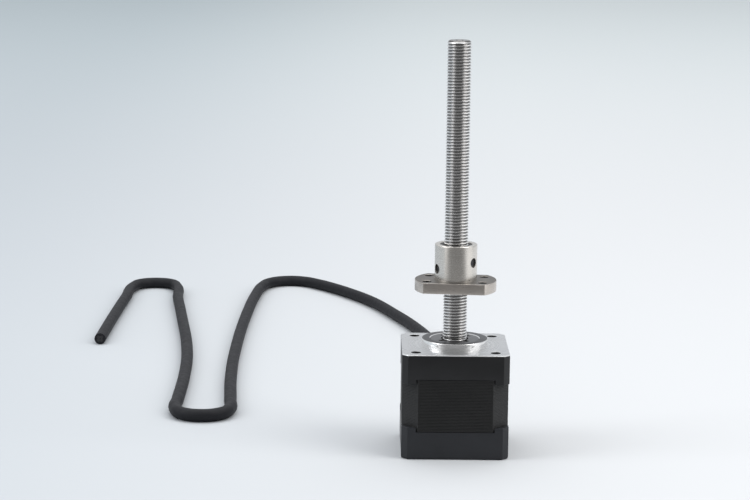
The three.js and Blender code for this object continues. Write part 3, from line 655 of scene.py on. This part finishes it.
def front_cap():
    outline = cut_square(MOTOR_SIDE, CORNER_CUT)
    levels = rounded_levels(FRONT_CAP_SEAT, FACE_TOP, 0.05, 0.3)
    cap = finished("front_cap_body", slab([outline, *bolt_holes(BOLT_HOLE)], levels))
    combined(cap, skirts(FRONT_CAP_LOW.z, FRONT_CAP_SEAT + 0.5, 0.12, 0.05), "UNION")
    boss = rod_corners(BOSS_RADIUS, FACE_TOP - 0.5, BOSS_TOP, 0.3)
    combined(cap, lathe(boss, 128), "UNION")
    seat_floor = FRONT_RACE_LOW.z - 0.1
    seat = FRONT_RACE_HIGH.x + 0.1
    ceiling = FRONT_RACE_LOW.z - 0.7
    hollow = [
        (0, FRONT_CAP_SEAT - 3), (CAVITY_RADIUS, FRONT_CAP_SEAT - 3),
        (CAVITY_RADIUS, ceiling, 0.6), (PASSAGE_RADIUS, ceiling), (PASSAGE_RADIUS, seat_floor),
        (seat, seat_floor), (seat, BOSS_TOP - 0.25), (seat + 0.45, BOSS_TOP + 0.2),
        (0, BOSS_TOP + 0.2),
    ]
    combined(cap, lathe(hollow, 128), "DIFFERENCE")

    def finish_at(centre, normal):
        radius = centre.xy.length
        # Painted shade: the walls of the bolt holes and part of their rounded rims are painted near
        # black.
        if in_bolt_hole(centre, BOLT_HOLE + 0.2) and centre.z < FACE_TOP - 0.02 and normal.z < 0.9:
            return PAINTED_HOLE_SHADE
        # Painted shade: the top face of the boss takes the darker copy of the machined metal.
        if normal.z > 0.95 and centre.z > BOSS_TOP - 0.1:
            return SHADED_BOSS_TOP_METAL
        if centre.z > FACE_TOP + 0.02 and radius < BOSS_RADIUS + 0.1:
            return BOSS_METAL
        if centre.z > FACE_TOP - 0.32 and (normal.z > 0.2 or radius < BOSS_RADIUS):
            return FACE_METAL
        if radius < CAVITY_RADIUS + 0.01 and centre.z > FRONT_CAP_SEAT - 0.1:
            return CAST_METAL
        return BLACK_PAINT

    painted_by(cap, finish_at)
    stands_for(smoothed(cap), "front_cap")


def rear_cap():
    outline = cut_square(MOTOR_SIDE, CORNER_CUT)
    levels = rounded_levels(0, REAR_CAP_SEAT, 0.9, 0.05, steps=6)
    cap = finished("rear_cap_body", slab([outline], levels))
    combined(cap, skirts(REAR_CAP_SEAT - 0.5, REAR_CAP_HIGH.z, 0.05, 0.12), "UNION")
    seat = REAR_RACE_HIGH.x + 0.05
    seat_top = REAR_RACE_HIGH.z - 0.1
    hollow = [
        (0, REAR_FLOOR), (seat, REAR_FLOOR), (seat, seat_top),
        (seat + SEAT_WALL, seat_top, 0.3), (seat + SEAT_WALL, REAR_FLOOR, 0.4),
        (CAVITY_RADIUS, REAR_FLOOR, 0.6), (CAVITY_RADIUS, REAR_CAP_SEAT + 2),
        (0, REAR_CAP_SEAT + 2),
    ]
    combined(cap, lathe(hollow, 128), "DIFFERENCE")
    above = REAR_CAP_HIGH.z + 1
    bolt_way = [
        (0, -1), (BOLT_SINK, -1), (BOLT_SINK, BOLT_SINK_DEPTH), (BOLT_HOLE, BOLT_SINK_DEPTH),
        (BOLT_HOLE, above), (0, above),
    ]
    for x, y in BOLT_PLACES:
        move = Matrix.Translation((x, y, 0))
        combined(cap, turned_to(lathe(bolt_way, 48), move), "DIFFERENCE")
    outlet = rod_corners(OUTLET_RADIUS, CAVITY_RADIUS - 1, MOTOR_SIDE)
    combined(cap, turned_to(lathe(outlet, 48), CABLE_WAY), "DIFFERENCE")

    def finish_at(centre, _normal):
        inside = centre.xy.length < CAVITY_RADIUS + 0.01 and centre.z > REAR_FLOOR - 0.01
        return CAST_METAL if inside else BLUE_BLACK_PAINT

    painted_by(cap, finish_at)
    stands_for(smoothed(cap), "rear_cap")


front_cap()
rear_cap()

# ---- Stator: laminated core, insulators and windings ----


def pole_outline(slot_radius, face_radius, tooth_depth):
    """The inner outline of the poles, clockwise: neck, shoe and toothed or plain face."""
    shoe_half = ((TEETH_PER_POLE - 1) / 2 + 0.25) * TOOTH_PITCH
    shoe_back = SHOE_RADIUS - 0.4
    teeth = TEETH_PER_POLE if tooth_depth else 1
    tooth_half = TOOTH_PITCH / 4 if tooth_depth else shoe_half
    slot_neck = math.asin(NECK_HALF / slot_radius)
    shoe_neck = math.asin(NECK_HALF / SHOE_RADIUS)
    gap = TURN / POLES - 2 * slot_neck
    points = []
    for pole in range(POLES):
        centre = POLE_OFFSET + TURN * pole / POLES
        points.append(polar(slot_radius, centre - slot_neck))
        points.append(polar(SHOE_RADIUS, centre - shoe_neck))
        points.append(polar(shoe_back, centre - shoe_half))
        for tooth in range(teeth):
            middle = centre + (tooth - (teeth - 1) / 2) * TOOTH_PITCH
            if tooth > 0:
                points.append(polar(face_radius + tooth_depth, middle - tooth_half))
            points += [polar(face_radius, middle + tooth_half * side) for side in (-1, 0, 1)]
            if tooth < teeth - 1:
                points.append(polar(face_radius + tooth_depth, middle + tooth_half))
        points.append(polar(shoe_back, centre + shoe_half))
        points.append(polar(SHOE_RADIUS, centre + shoe_neck))
        points += [polar(slot_radius, centre + slot_neck + gap * i / 6) for i in range(6)]
    return points[::-1]


def laminated_levels(bottom, top, unevenness):
    """Levels of a stack of sheets, each with eased edges and its own small inset."""
    rng = random.Random(4)
    count = round((top - bottom) / SHEET)
    thickness = (top - bottom) / count
    levels = []
    for sheet in range(count):
        foot = bottom + sheet * thickness
        inset = unevenness * rng.random()
        levels += [(foot, inset + 0.09), (foot + 0.07, inset), (foot + thickness - 0.07, inset)]
    levels.append((top, 0.09))
    return levels


def stator_core():
    loops = [
        cut_square(STACK_SIDE, STACK_CORNER_CUT, 0.2),
        pole_outline(SLOT_RADIUS, STATOR_BORE, TOOTH_DEPTH),
        *bolt_holes(BOLT_HOLE),
    ]
    bm = slab(loops, laminated_levels(STACK_LOW.z, STACK_HIGH.z, 0.03))
    stack = finished("stator_stack", bm)

    def finish_at(centre, _normal):
        corner = abs(centre.x) + abs(centre.y) > STACK_SIDE - STACK_CORNER_CUT - 0.3
        outside = min(abs(centre.x), abs(centre.y)) > BOLT_OFFSET - 0.8
        return STACK_CORNER_PAINT if corner and outside else STACK_PAINT

    painted_by(stack, finish_at)
    stands_for(stack, "stator_core")


def insulator(node):
    low, high = extent(node)
    loops = [circle(high.x, sides=96), pole_outline(15, STATOR_BORE + TOOTH_DEPTH, 0)]
    levels = rounded_levels(low.z, high.z, 0.12, 0.12)
    stands_for(finished(node + "_moulding", slab(loops, levels), NYLON), node)


def oblong(half_width, half_height, rounding):
    """The corners of a rounded rectangle, anticlockwise."""
    sides = [(1, -1), (1, 1), (-1, 1), (-1, -1)]
    return [(x * half_width, y * half_height, rounding) for x, y in sides]


def winding(number):
    """One pole's winding: an oblong ring of wires laid side by side along the pole."""
    node = f"coil_{number}"
    inner, outer = 11.8, 14.1
    outside = oblong(4.3, STACK_HALF + 2.8, 1.6)
    inside = oblong(NECK_HALF + 0.25, STACK_HALF + 0.6, 0.3)
    wire = 0.23
    count = round((outer - inner) / wire)
    levels = []
    for i in range(count):
        middle = inner + (i + 0.5) * wire
        levels += [(middle - wire / 2, 0.1), (middle - wire / 4, 0.02), (middle + wire / 4, 0.02)]
    levels.append((inner + count * wire, 0.1))
    bm = slab([filleted(outside, 6), filleted(inside, 3)[::-1]], levels)
    angle = POLE_OFFSET + TURN * (number - 1) / POLES
    place = Matrix.Translation((0, 0, STACK_MIDDLE)) @ Matrix.Rotation(angle, 4, "Z")
    upright = Matrix.Rotation(math.pi / 2, 4, "Z") @ Matrix.Rotation(math.pi / 2, 4, "X")
    turned_to(bm, place @ upright)
    stands_for(finished(f"winding_{number}", bm, COPPER), node)


stator_core()
insulator("insulator_front")
insulator("insulator_rear")
for pole_number in range(1, POLES + 1):
    winding(pole_number)

# ---- Lead board and wires ----


def lead_board():
    pads = [hole(0.35, polar(11.6, TURN * (i + 0.5) / POLES), 16) for i in range(POLES)]
    loops = [circle(BOARD_HIGH.x, sides=96), hole(9.6, sides=96), *pads]
    bm = slab(loops, rounded_levels(BOARD_LOW.z, BOARD_HIGH.z, 0.05, 0.05))
    stands_for(finished("lead_ring_board", bm, BOARD), "lead_board")


def lead_wires():
    inner_end = GLAND_LOW.y
    height = GLAND_AXIS - 0.5
    for i, (slot_name, finish) in enumerate(WIRE_FINISHES.items()):
        side = i - 1.5
        route = [
            (side * 0.85, inner_end - 0.3, height), (side * 0.95, inner_end - 1.2, height),
            (side * 1.4, inner_end - 2.6, height - 0.6),
            (side * 1.7, inner_end - 3.4, height - 0.1),
            (side * 1.7, inner_end - 3.5, BOARD_LOW.z - 0.3),
        ]
        wire = tube_curve("wire_" + slot_name, route, WIRE_RADIUS, finish)
        stands_for(wire, f"lead_wire_{i + 1}")


lead_board()
lead_wires()

# ---- Housing bolts ----


def housing_bolt(number, x, y):
    """A hexagon socket screw, its head sunk in the rear face."""
    low, high = extent(f"housing_bolt_{number}")
    head_top = low.z + BOLT_HEAD_HEIGHT
    outline = [
        (0, low.z), (BOLT_HEAD, low.z, 0.25), (BOLT_HEAD, head_top),
        (BOLT_SHANK, head_top, 0.1), (BOLT_SHANK, high.z, 0.3), (0, high.z),
    ]
    bolt = finished(f"socket_screw_{number}", lathe(outline, 64), OXIDE_METAL)
    socket_levels = [(low.z - 1, 0), (low.z + BOLT_SOCKET_DEPTH, 0)]
    socket = slab([circle(BOLT_SOCKET, sides=6)], socket_levels)
    combined(bolt, socket, "DIFFERENCE")
    bolt.data.transform(Matrix.Translation((x * MM, y * MM, 0)))
    stands_for(smoothed(bolt), f"housing_bolt_{number}")


for bolt_number, (bolt_x, bolt_y) in enumerate(BOLT_PLACES, 1):
    housing_bolt(bolt_number, bolt_x, bolt_y)

# ---- Bearings ----

# Pitch radius, ball radius, number of balls and bore radius.
BEARINGS = {"front": (6.05, 0.8, 12, 4.05), "rear": (4.5, 1.0, 9, 2.55)}


def race(node, edge, groove_edge, pitch, ball, low, high):
    """A race with eased corners and a round groove for the balls."""
    middle = (low.z + high.z) / 2
    groove = ball * 1.04
    facing = math.copysign(1, pitch - groove_edge)
    half = math.sqrt(groove**2 - (pitch - groove_edge) ** 2)
    reach = math.asin(half / groove)
    arc = []
    for i in range(9):
        angle = reach * (i / 4 - 1)
        radius = pitch - facing * groove * math.cos(angle)
        arc.append((radius, middle + groove * math.sin(angle)))
    outline = [(edge, low.z, 0.25), (groove_edge, low.z, 0.1), *arc]
    outline += [(groove_edge, high.z, 0.1), (edge, high.z, 0.25)]
    stands_for(finished(node + "_ring", lathe(outline), BEARING_METAL), node)


def add_ball(bm, radius, place, around, up):
    """A ball with so many faces around it and so many up it."""
    bmesh.ops.create_uvsphere(bm, u_segments=around, v_segments=up, radius=radius, matrix=place)


def ball_cage(name, pitch, ball, balls, low, high):
    """The balls between the two pressed halves of their cage, which wave around them."""
    middle = (low.z + high.z) / 2
    bm = bmesh.new()
    for i in range(balls):
        at = polar(pitch, TURN * i / balls)
        place = Matrix.Translation((at.x, at.y, middle))
        add_ball(bm, ball, place, 20, 12)
    ball_faces = len(bm.faces)
    steps = 16 * balls
    half_band = 0.25 * ball
    for half in (-1, 1):
        columns = []
        for step in range(steps):
            angle = TURN * step / steps
            wave = (1 + math.cos(angle * balls)) / 2
            height = middle + half * (0.08 + wave**1.5 * (ball * 0.98))
            corners = [(-half_band, 0), (half_band, 0), (half_band, 0.1), (-half_band, 0.1)]
            column = []
            for across, up in corners:
                at = polar(pitch + across, angle)
                column.append(bm.verts.new((at.x, at.y, height + half * up)))
            columns.append(column)
        for column, following in zip(columns, columns[1:] + columns[:1]):
            skin(bm, column, following)
    bm.faces.ensure_lookup_table()
    for face in bm.faces[ball_faces:]:
        face.material_index = 1
    piece = finished(name + "_balls_and_cage", bm, BEARING_METAL, CAGE_BRASS)
    stands_for(piece, name + "_bearing_cage")


def shield(node):
    """A thin pressed shield with a stepped rim."""
    low, high = extent(node)
    inner = 5.55
    outline = [
        (inner, low.z), (high.x - 0.4, low.z), (high.x - 0.3, low.z + 0.05),
        (high.x, low.z + 0.05), (high.x, high.z, 0.05), (high.x - 0.35, high.z, 0.03),
        (high.x - 0.45, high.z - 0.05), (inner + 0.3, high.z - 0.05),
        (inner + 0.2, high.z, 0.02), (inner, high.z, 0.03),
    ]
    stands_for(finished(node + "_pressing", lathe(outline), SHIELD_METAL), node)


def wave_washer():
    """A flat spring ring pressed into three waves."""
    low, high = extent("wave_washer")
    middle = (low.z + high.z) / 2
    bm = lathe(ring_corners(3.6, 6.2, -0.12, 0.12, 0.05), 144)
    for vertex in bm.verts:
        angle = math.atan2(vertex.co.y, vertex.co.x)
        vertex.co.z += middle + 0.35 * math.cos(3 * angle)
    stands_for(finished("waved_spring_washer", bm, SPRING_METAL), "wave_washer")


def bearing_set(name, low, high):
    pitch, ball, balls, bore = BEARINGS[name]
    race(name + "_bearing_outer_race", high.x, pitch + ball * 0.75, pitch, ball, low, high)
    race(name + "_bearing_inner_race", bore, pitch - ball * 0.75, pitch, ball, low, high)
    ball_cage(name, pitch, ball, balls, low, high)


def bearing_retainer():
    """The ring over the front bearing, with four spanner notches open to its bore."""
    notches, notch_half, notch_floor, bore = 4, 0.75, 6.7, 4.5
    mouth = math.asin(notch_half / bore)
    foot = math.asin(notch_half / notch_floor)
    inside = []
    for notch in range(notches):
        angle = math.radians(40) + TURN * notch / notches
        inside += [polar(notch_floor, angle - foot), polar(notch_floor, angle + foot)]
        start, end = angle + mouth, angle + TURN / notches - mouth
        inside += [polar(bore, start + (end - start) * i / 10) for i in range(11)]
    levels = rounded_levels(RETAINER_LOW.z, RETAINER_HIGH.z, 0.05, 0.12)
    bm = slab([circle(RETAINER_HIGH.x, sides=96), inside[::-1]], levels)
    ring = finished("notched_retainer", bm)

    def finish_at(centre, normal):
        # Painted shade: the walls of the notches and of the bore are painted near black.
        shaded_inner_wall = abs(normal.z) < 0.4 and centre.xy.length < notch_floor + 0.1
        return PAINTED_HOLE_SHADE if shaded_inner_wall else RETAINER_METAL

    painted_by(ring, finish_at)
    stands_for(ring, "bearing_retainer")


bearing_retainer()
bearing_set("front", FRONT_RACE_LOW, FRONT_RACE_HIGH)
bearing_set("rear", REAR_RACE_LOW, REAR_RACE_HIGH)
shield("front_bearing_upper_shield")
shield("front_bearing_lower_shield")
wave_washer()

# ---- Screw ----


def groove_profile():
    """(share of the lead, radius) over one lead, from the middle of one crest to the next."""
    half_width = math.sqrt(GROOVE_RADIUS**2 - (GROOVE_CENTRE - SCREW_RADIUS) ** 2)
    profile = [(0, SCREW_RADIUS), ((0.5 - half_width / LEAD) * 0.7, SCREW_RADIUS)]
    steps = 9
    for i in range(steps):
        across = half_width * 0.96 * (2 * i / (steps - 1) - 1)
        radius = GROOVE_CENTRE - math.sqrt(GROOVE_RADIUS**2 - across**2)
        profile.append((0.5 + across / LEAD, min(radius, SCREW_RADIUS - 0.03)))
    profile.append((1 - profile[1][0], SCREW_RADIUS))
    return profile


def thread(bottom, top):
    """A right-hand ball groove wound up around Z, cut off square at both ends."""
    sides = 72
    profile = groove_profile()
    overrun = 2
    first = math.floor(bottom - CREST_HEIGHT) - overrun
    turns = math.ceil(top - bottom) + 2 * overrun
    chamfer = 0.7
    bm = bmesh.new()
    columns = []
    for side in range(sides):
        column = []
        for turn in range(turns):
            for share, radius in profile:
                height = CREST_HEIGHT + LEAD * (first + turn + share + side / sides)
                limit = SCREW_RADIUS + 0.02 - max(0, height - (top - chamfer))
                at = polar(min(radius, max(limit, 1)), TURN * side / sides)
                column.append(bm.verts.new((at.x, at.y, height)))
        columns.append(column)
    # The first column meets the last one a whole turn further up.
    columns.append(columns[0][len(profile):])
    for column, following in zip(columns, columns[1:]):
        for row in range(len(following) - 1):
            bm.faces.new((column[row], following[row], following[row + 1], column[row + 1]))
    for height, normal in ((bottom, (0, 0, -1)), (top, (0, 0, 1))):
        geometry = bm.verts[:] + bm.edges[:] + bm.faces[:]
        bmesh.ops.bisect_plane(
            bm, geom=geometry, plane_co=(0, 0, height), plane_no=normal, clear_outer=True
        )
    rim = [edge for edge in bm.edges if edge.is_boundary]
    bmesh.ops.holes_fill(bm, edges=rim, sides=0)
    return bm


def lead_screw():
    screw = finished("ball_screw", thread(THREAD_BOTTOM, SCREW_HIGH.z), SCREW_METAL)
    foot = SCREW_LOW.z
    shaft = [
        (0, foot), (REAR_JOURNAL, foot, 0.3), (REAR_JOURNAL, REAR_SHOULDER, 0.15),
        (SHAFT_RADIUS, REAR_SHOULDER, 0.2), (SHAFT_RADIUS, BOSS_TOP, 0.2),
        (SCREW_CORE, BOSS_TOP), (SCREW_CORE, THREAD_BOTTOM + 0.3), (0, THREAD_BOTTOM + 0.3),
    ]
    combined(screw, lathe(shaft), "UNION")
    top = SCREW_HIGH.z
    pilot = 0.5
    centre_hole = [
        (0, top - 1.6), (pilot, top - 1.3), (pilot, top - 0.9),
        (1.5, top + 0.1), (0, top + 0.1),
    ]
    combined(screw, lathe(centre_hole, 32), "DIFFERENCE")
    painted_by(screw, lambda _centre, _normal: SCREW_METAL)
    stands_for(smoothed(screw, 40), "lead_screw")


lead_screw()

# ---- Rotor ----


def rotor_core(node, turn):
    low, high = extent(node)
    # The box of the core that is half a tooth round ends between two teeth.
    radius = high.x if turn == 0 else ROTOR_RADIUS
    crest, foot = 0.22 * TOOTH_PITCH, 0.3 * TOOTH_PITCH
    outline = []
    for tooth in range(ROTOR_TEETH):
        middle = tooth * TOOTH_PITCH + turn
        outline += [
            polar(radius - TOOTH_DEPTH, middle - foot),
            polar(radius, middle - crest),
            polar(radius, middle + crest),
            polar(radius - TOOTH_DEPTH, middle + foot),
        ]
    bm = slab([outline, hole(SLEEVE_BORE)], laminated_levels(low.z, high.z, 0.0))
    stands_for(finished(node + "_stack", bm, ROTOR_METAL), node)


def sleeve(name, node, material):
    """A plain ring on the shaft, with eased edges."""
    low, high = extent(node)
    outline = ring_corners(SLEEVE_BORE, high.x, low.z, high.z, 0.15)
    stands_for(finished(name, lathe(outline), material), node)


rotor_core("rotor_core_front", 0)
rotor_core("rotor_core_rear", TOOTH_PITCH / 2)
sleeve("rotor_magnet_ring", "rotor_magnet", MAGNET_METAL)
sleeve("shaft_spacer_sleeve", "shaft_spacer", SPRING_METAL)

# ---- Ball nut ----

NUT_TURN = Matrix.Rotation(NUT_YAW, 4, "Z")


def flange_outline():
    """Two arcs joined by two flats."""
    reach = math.asin(FLANGE_FLAT / FLANGE_RADIUS)
    steps = 24
    outline = []
    for centre in (0, math.pi):
        for i in range(steps + 1):
            outline.append(polar(FLANGE_RADIUS, centre + reach * (2 * i / steps - 1)))
    return outline


def port_plug(radius, start, end, port, *corner):
    """A round plug pointing out through the side of the nut at one of its ports."""
    angle, height = port
    place = (
        NUT_TURN
        @ Matrix.Rotation(math.radians(angle), 4, "Z")
        @ Matrix.Translation((0, 0, FLANGE_TOP + height))
        @ Matrix.Rotation(math.pi / 2, 4, "Y")
    )
    return turned_to(lathe(rod_corners(radius, start, end, *corner), 48), place)


def nut_body():
    angles = [math.radians(angle) for angle in FLANGE_HOLE_ANGLES]
    flange_holes = [polar(FLANGE_HOLE_CIRCLE, angle + NUT_YAW) for angle in angles]
    holes = [hole(FLANGE_HOLE, polar(FLANGE_HOLE_CIRCLE, angle)) for angle in angles]
    flange = slab([flange_outline(), *holes], rounded_levels(NUT_LOW.z, FLANGE_TOP, 0.15, 0.15))
    nut = finished("ball_nut", turned_to(flange, NUT_TURN))
    barrel = rod_corners(NUT_RADIUS, NUT_LOW.z + 0.01, NUT_HIGH.z, 0.35)
    combined(nut, lathe(barrel, 128), "UNION")
    recess = 1.3
    wide = WIPER_RADIUS + 0.1
    end_steps = [
        (0, -1), (wide + 0.2, -1), (wide + 0.2, 0), (wide, 0.2), (wide, recess),
        (NUT_BORE, recess),
    ]
    through = [(radius, NUT_LOW.z + depth) for radius, depth in end_steps]
    through += [(radius, NUT_HIGH.z - depth) for radius, depth in reversed(end_steps)]
    combined(nut, lathe(through, 128), "DIFFERENCE")
    for port in PORTS:
        combined(nut, port_plug(PORT_RADIUS, NUT_BORE - 1, NUT_RADIUS + 1, port), "DIFFERENCE")

    def finish_at(centre, _normal):
        if centre.z > FLANGE_TOP + 0.01:
            return NICKEL
        if min(abs(centre.z - FLANGE_TOP), abs(centre.z - NUT_LOW.z)) < 0.03:
            return FLANGE_FACE
        # Painted shade: the walls of the flange holes are painted near black.
        nearest = min((centre.xy - at).length for at in flange_holes)
        if nearest < FLANGE_HOLE + 0.02 and centre.z < FLANGE_TOP - 0.1:
            return PAINTED_HOLE_SHADE
        return FLANGE_RIM if centre.xy.length > FLANGE_FLAT - 0.5 else NICKEL

    painted_by(nut, finish_at)
    stands_for(smoothed(nut), "nut_body")


def wiper(node):
    """A plastic ring with a lip that follows the screw."""
    low, high = extent(node)
    inner = SCREW_RADIUS + 0.1
    outline = [
        (inner, low.z, 0.1), (WIPER_RADIUS - 0.05, low.z, 0.1),
        (WIPER_RADIUS - 0.05, high.z, 0.15), (inner + 0.5, high.z, 0.1),
        (inner, high.z - 0.35, 0.1),
    ]
    stands_for(finished(node + "_ring", lathe(outline), BLACK_PLASTIC), node)


def deflector(number, port):
    plug = port_plug(PORT_RADIUS - 0.1, 4.75, NUT_RADIUS - 0.7, port, 0.2)
    piece = finished(f"port_plug_{number}", plug, BLACK_PLASTIC)
    stands_for(piece, f"deflector_{number}")


def ball_circuit(number, port):
    """The string of balls in one turn of the groove, with a gap at the deflector."""
    angle, height = port
    start = math.radians(angle) + NUT_YAW
    clear = 0.5
    groove_foot = CREST_HEIGHT + LEAD / 2
    middle = groove_foot + LEAD * (start + math.pi) / TURN
    turns_up = round((FLANGE_TOP + height - middle) / LEAD)
    count = int((TURN - 2 * clear) * BALL_CIRCLE / (2.05 * BALL_RADIUS))
    bm = bmesh.new()
    for i in range(count):
        around = start + clear + (TURN - 2 * clear) * i / (count - 1)
        at = polar(BALL_CIRCLE, around)
        place = Matrix.Translation((at.x, at.y, groove_foot + LEAD * (around / TURN + turns_up)))
        add_ball(bm, BALL_RADIUS, place, 16, 10)
    piece = finished(f"balls_of_circuit_{number}", bm, BEARING_METAL)
    stands_for(piece, f"ball_circuit_{number}")


nut_body()
wiper("nut_wiper_lower")
wiper("nut_wiper_upper")
for port_number, nut_port in enumerate(PORTS, 1):
    deflector(port_number, nut_port)
    ball_circuit(port_number, nut_port)

# ---- Stage: floor, reflections and lights ----


def floor():
    """A pale floor with painted shade: a little darker near the object and towards the left."""
    bm = bmesh.new()
    bmesh.ops.create_grid(bm, x_segments=8, y_segments=8, size=9000)
    finish = Finish("floor", (0.57, 0.58, 0.592), 0.9)
    axes = finish.add("ShaderNodeSeparateXYZ", {0: finish.place}).outputs
    # Painted shade: the floor colour is darker in front and towards the left, where less light
    # falls.
    shade_fades_behind = finish.ranged(axes["Y"], 0.3, 1.8, easing="SMOOTHSTEP")
    leftward_shade = finish.ranged(axes["X"], 0.1, -0.28, easing="SMOOTHSTEP")
    near, far, left_painted_shade = (0.57, 0.58, 0.592, 1), (0.7, 0.745, 0.75, 1), (0.73, 0.77, 0.8, 1)
    depth = finish.add("ShaderNodeMixRGB", {"Fac": shade_fades_behind, "Color1": near, "Color2": far})
    inputs = {"Fac": leftward_shade, "Color1": depth.outputs[0], "Color2": left_painted_shade}
    across = finish.add("ShaderNodeMixRGB", inputs, blend_type="MULTIPLY")
    finish.feed("Base Color", across.outputs[0])
    finished("floor", bm, finish.material)


def flag(name, centre, width, height, turn, glow):
    """A panel that only shows in reflections. It glows softly straight in front of the object and
    more brightly towards the sides."""
    bm = bmesh.new()
    bmesh.ops.create_grid(bm, x_segments=1, y_segments=1, size=0.5)
    place = (
        Matrix.Translation(centre)
        @ Matrix.Rotation(math.radians(turn), 4, "Z")
        @ Matrix.Rotation(math.pi / 2, 4, "X")
        @ Matrix.Diagonal((width, height, 1, 1))
    )
    turned_to(bm, place)
    sockets = {"Specular IOR Level": 0, "Emission Color": (0.97, 0.98, 1, 1)}
    finish = Finish(name, (0, 0, 0), 1.0, sockets=sockets)
    axes = finish.add("ShaderNodeSeparateXYZ", {0: finish.place}).outputs
    aside = finish.add("ShaderNodeMath", {0: axes["X"]}, operation="ABSOLUTE").outputs[0]
    fade = finish.ranged(aside, 0.06, 0.2, *glow, easing="SMOOTHSTEP")
    panel = finished(name, bm, finish.feed("Emission Strength", fade).material)
    panel.visible_camera = False
    panel.visible_diffuse = False
    panel.visible_shadow = False
    panel.visible_transmission = False


def soft_light(name, at, size, power, colour=(1, 1, 1)):
    lamp = bpy.data.lights.new(name, "AREA")
    lamp.shape = "RECTANGLE"
    lamp.size, lamp.size_y = size
    lamp.energy = power
    lamp.color = colour
    light = added(name, lamp)
    light.location = Vector(at)
    towards_motor = Vector((0, 0, 0.05)) - light.location
    light.rotation_euler = towards_motor.to_track_quat("-Z", "Y").to_euler()


floor()
flag("lower_front_flag", (-35, -110, 20), 400, 60, 0, (0.3, 0.75))
flag("upper_front_flag", (-35, -110, 140), 400, 180, 0, (0.26, 1.3))
flag("right_flag", (235, -40, 80), 170, 300, 50, (1.1, 1.1))
soft_light("right_softbox", (0.9, -0.35, 0.9), (0.7, 0.9), 9, (1, 0.985, 0.96))
soft_light("left_softbox", (-0.9, -0.2, 0.8), (0.5, 0.8), 5, (0.96, 0.98, 1))
soft_light("top_softbox", (0, 0.5, 1.5), (1.6, 1.6), 14)

world = bpy.data.worlds.new("studio")
bpy.context.scene.world = world
world.use_nodes = True
background = world.node_tree.nodes["Background"]
background.inputs["Color"].default_value = (0.93, 0.96, 1, 1)
background.inputs["Strength"].default_value = 0.72
bpy.context.scene.view_settings.view_transform = "Standard"
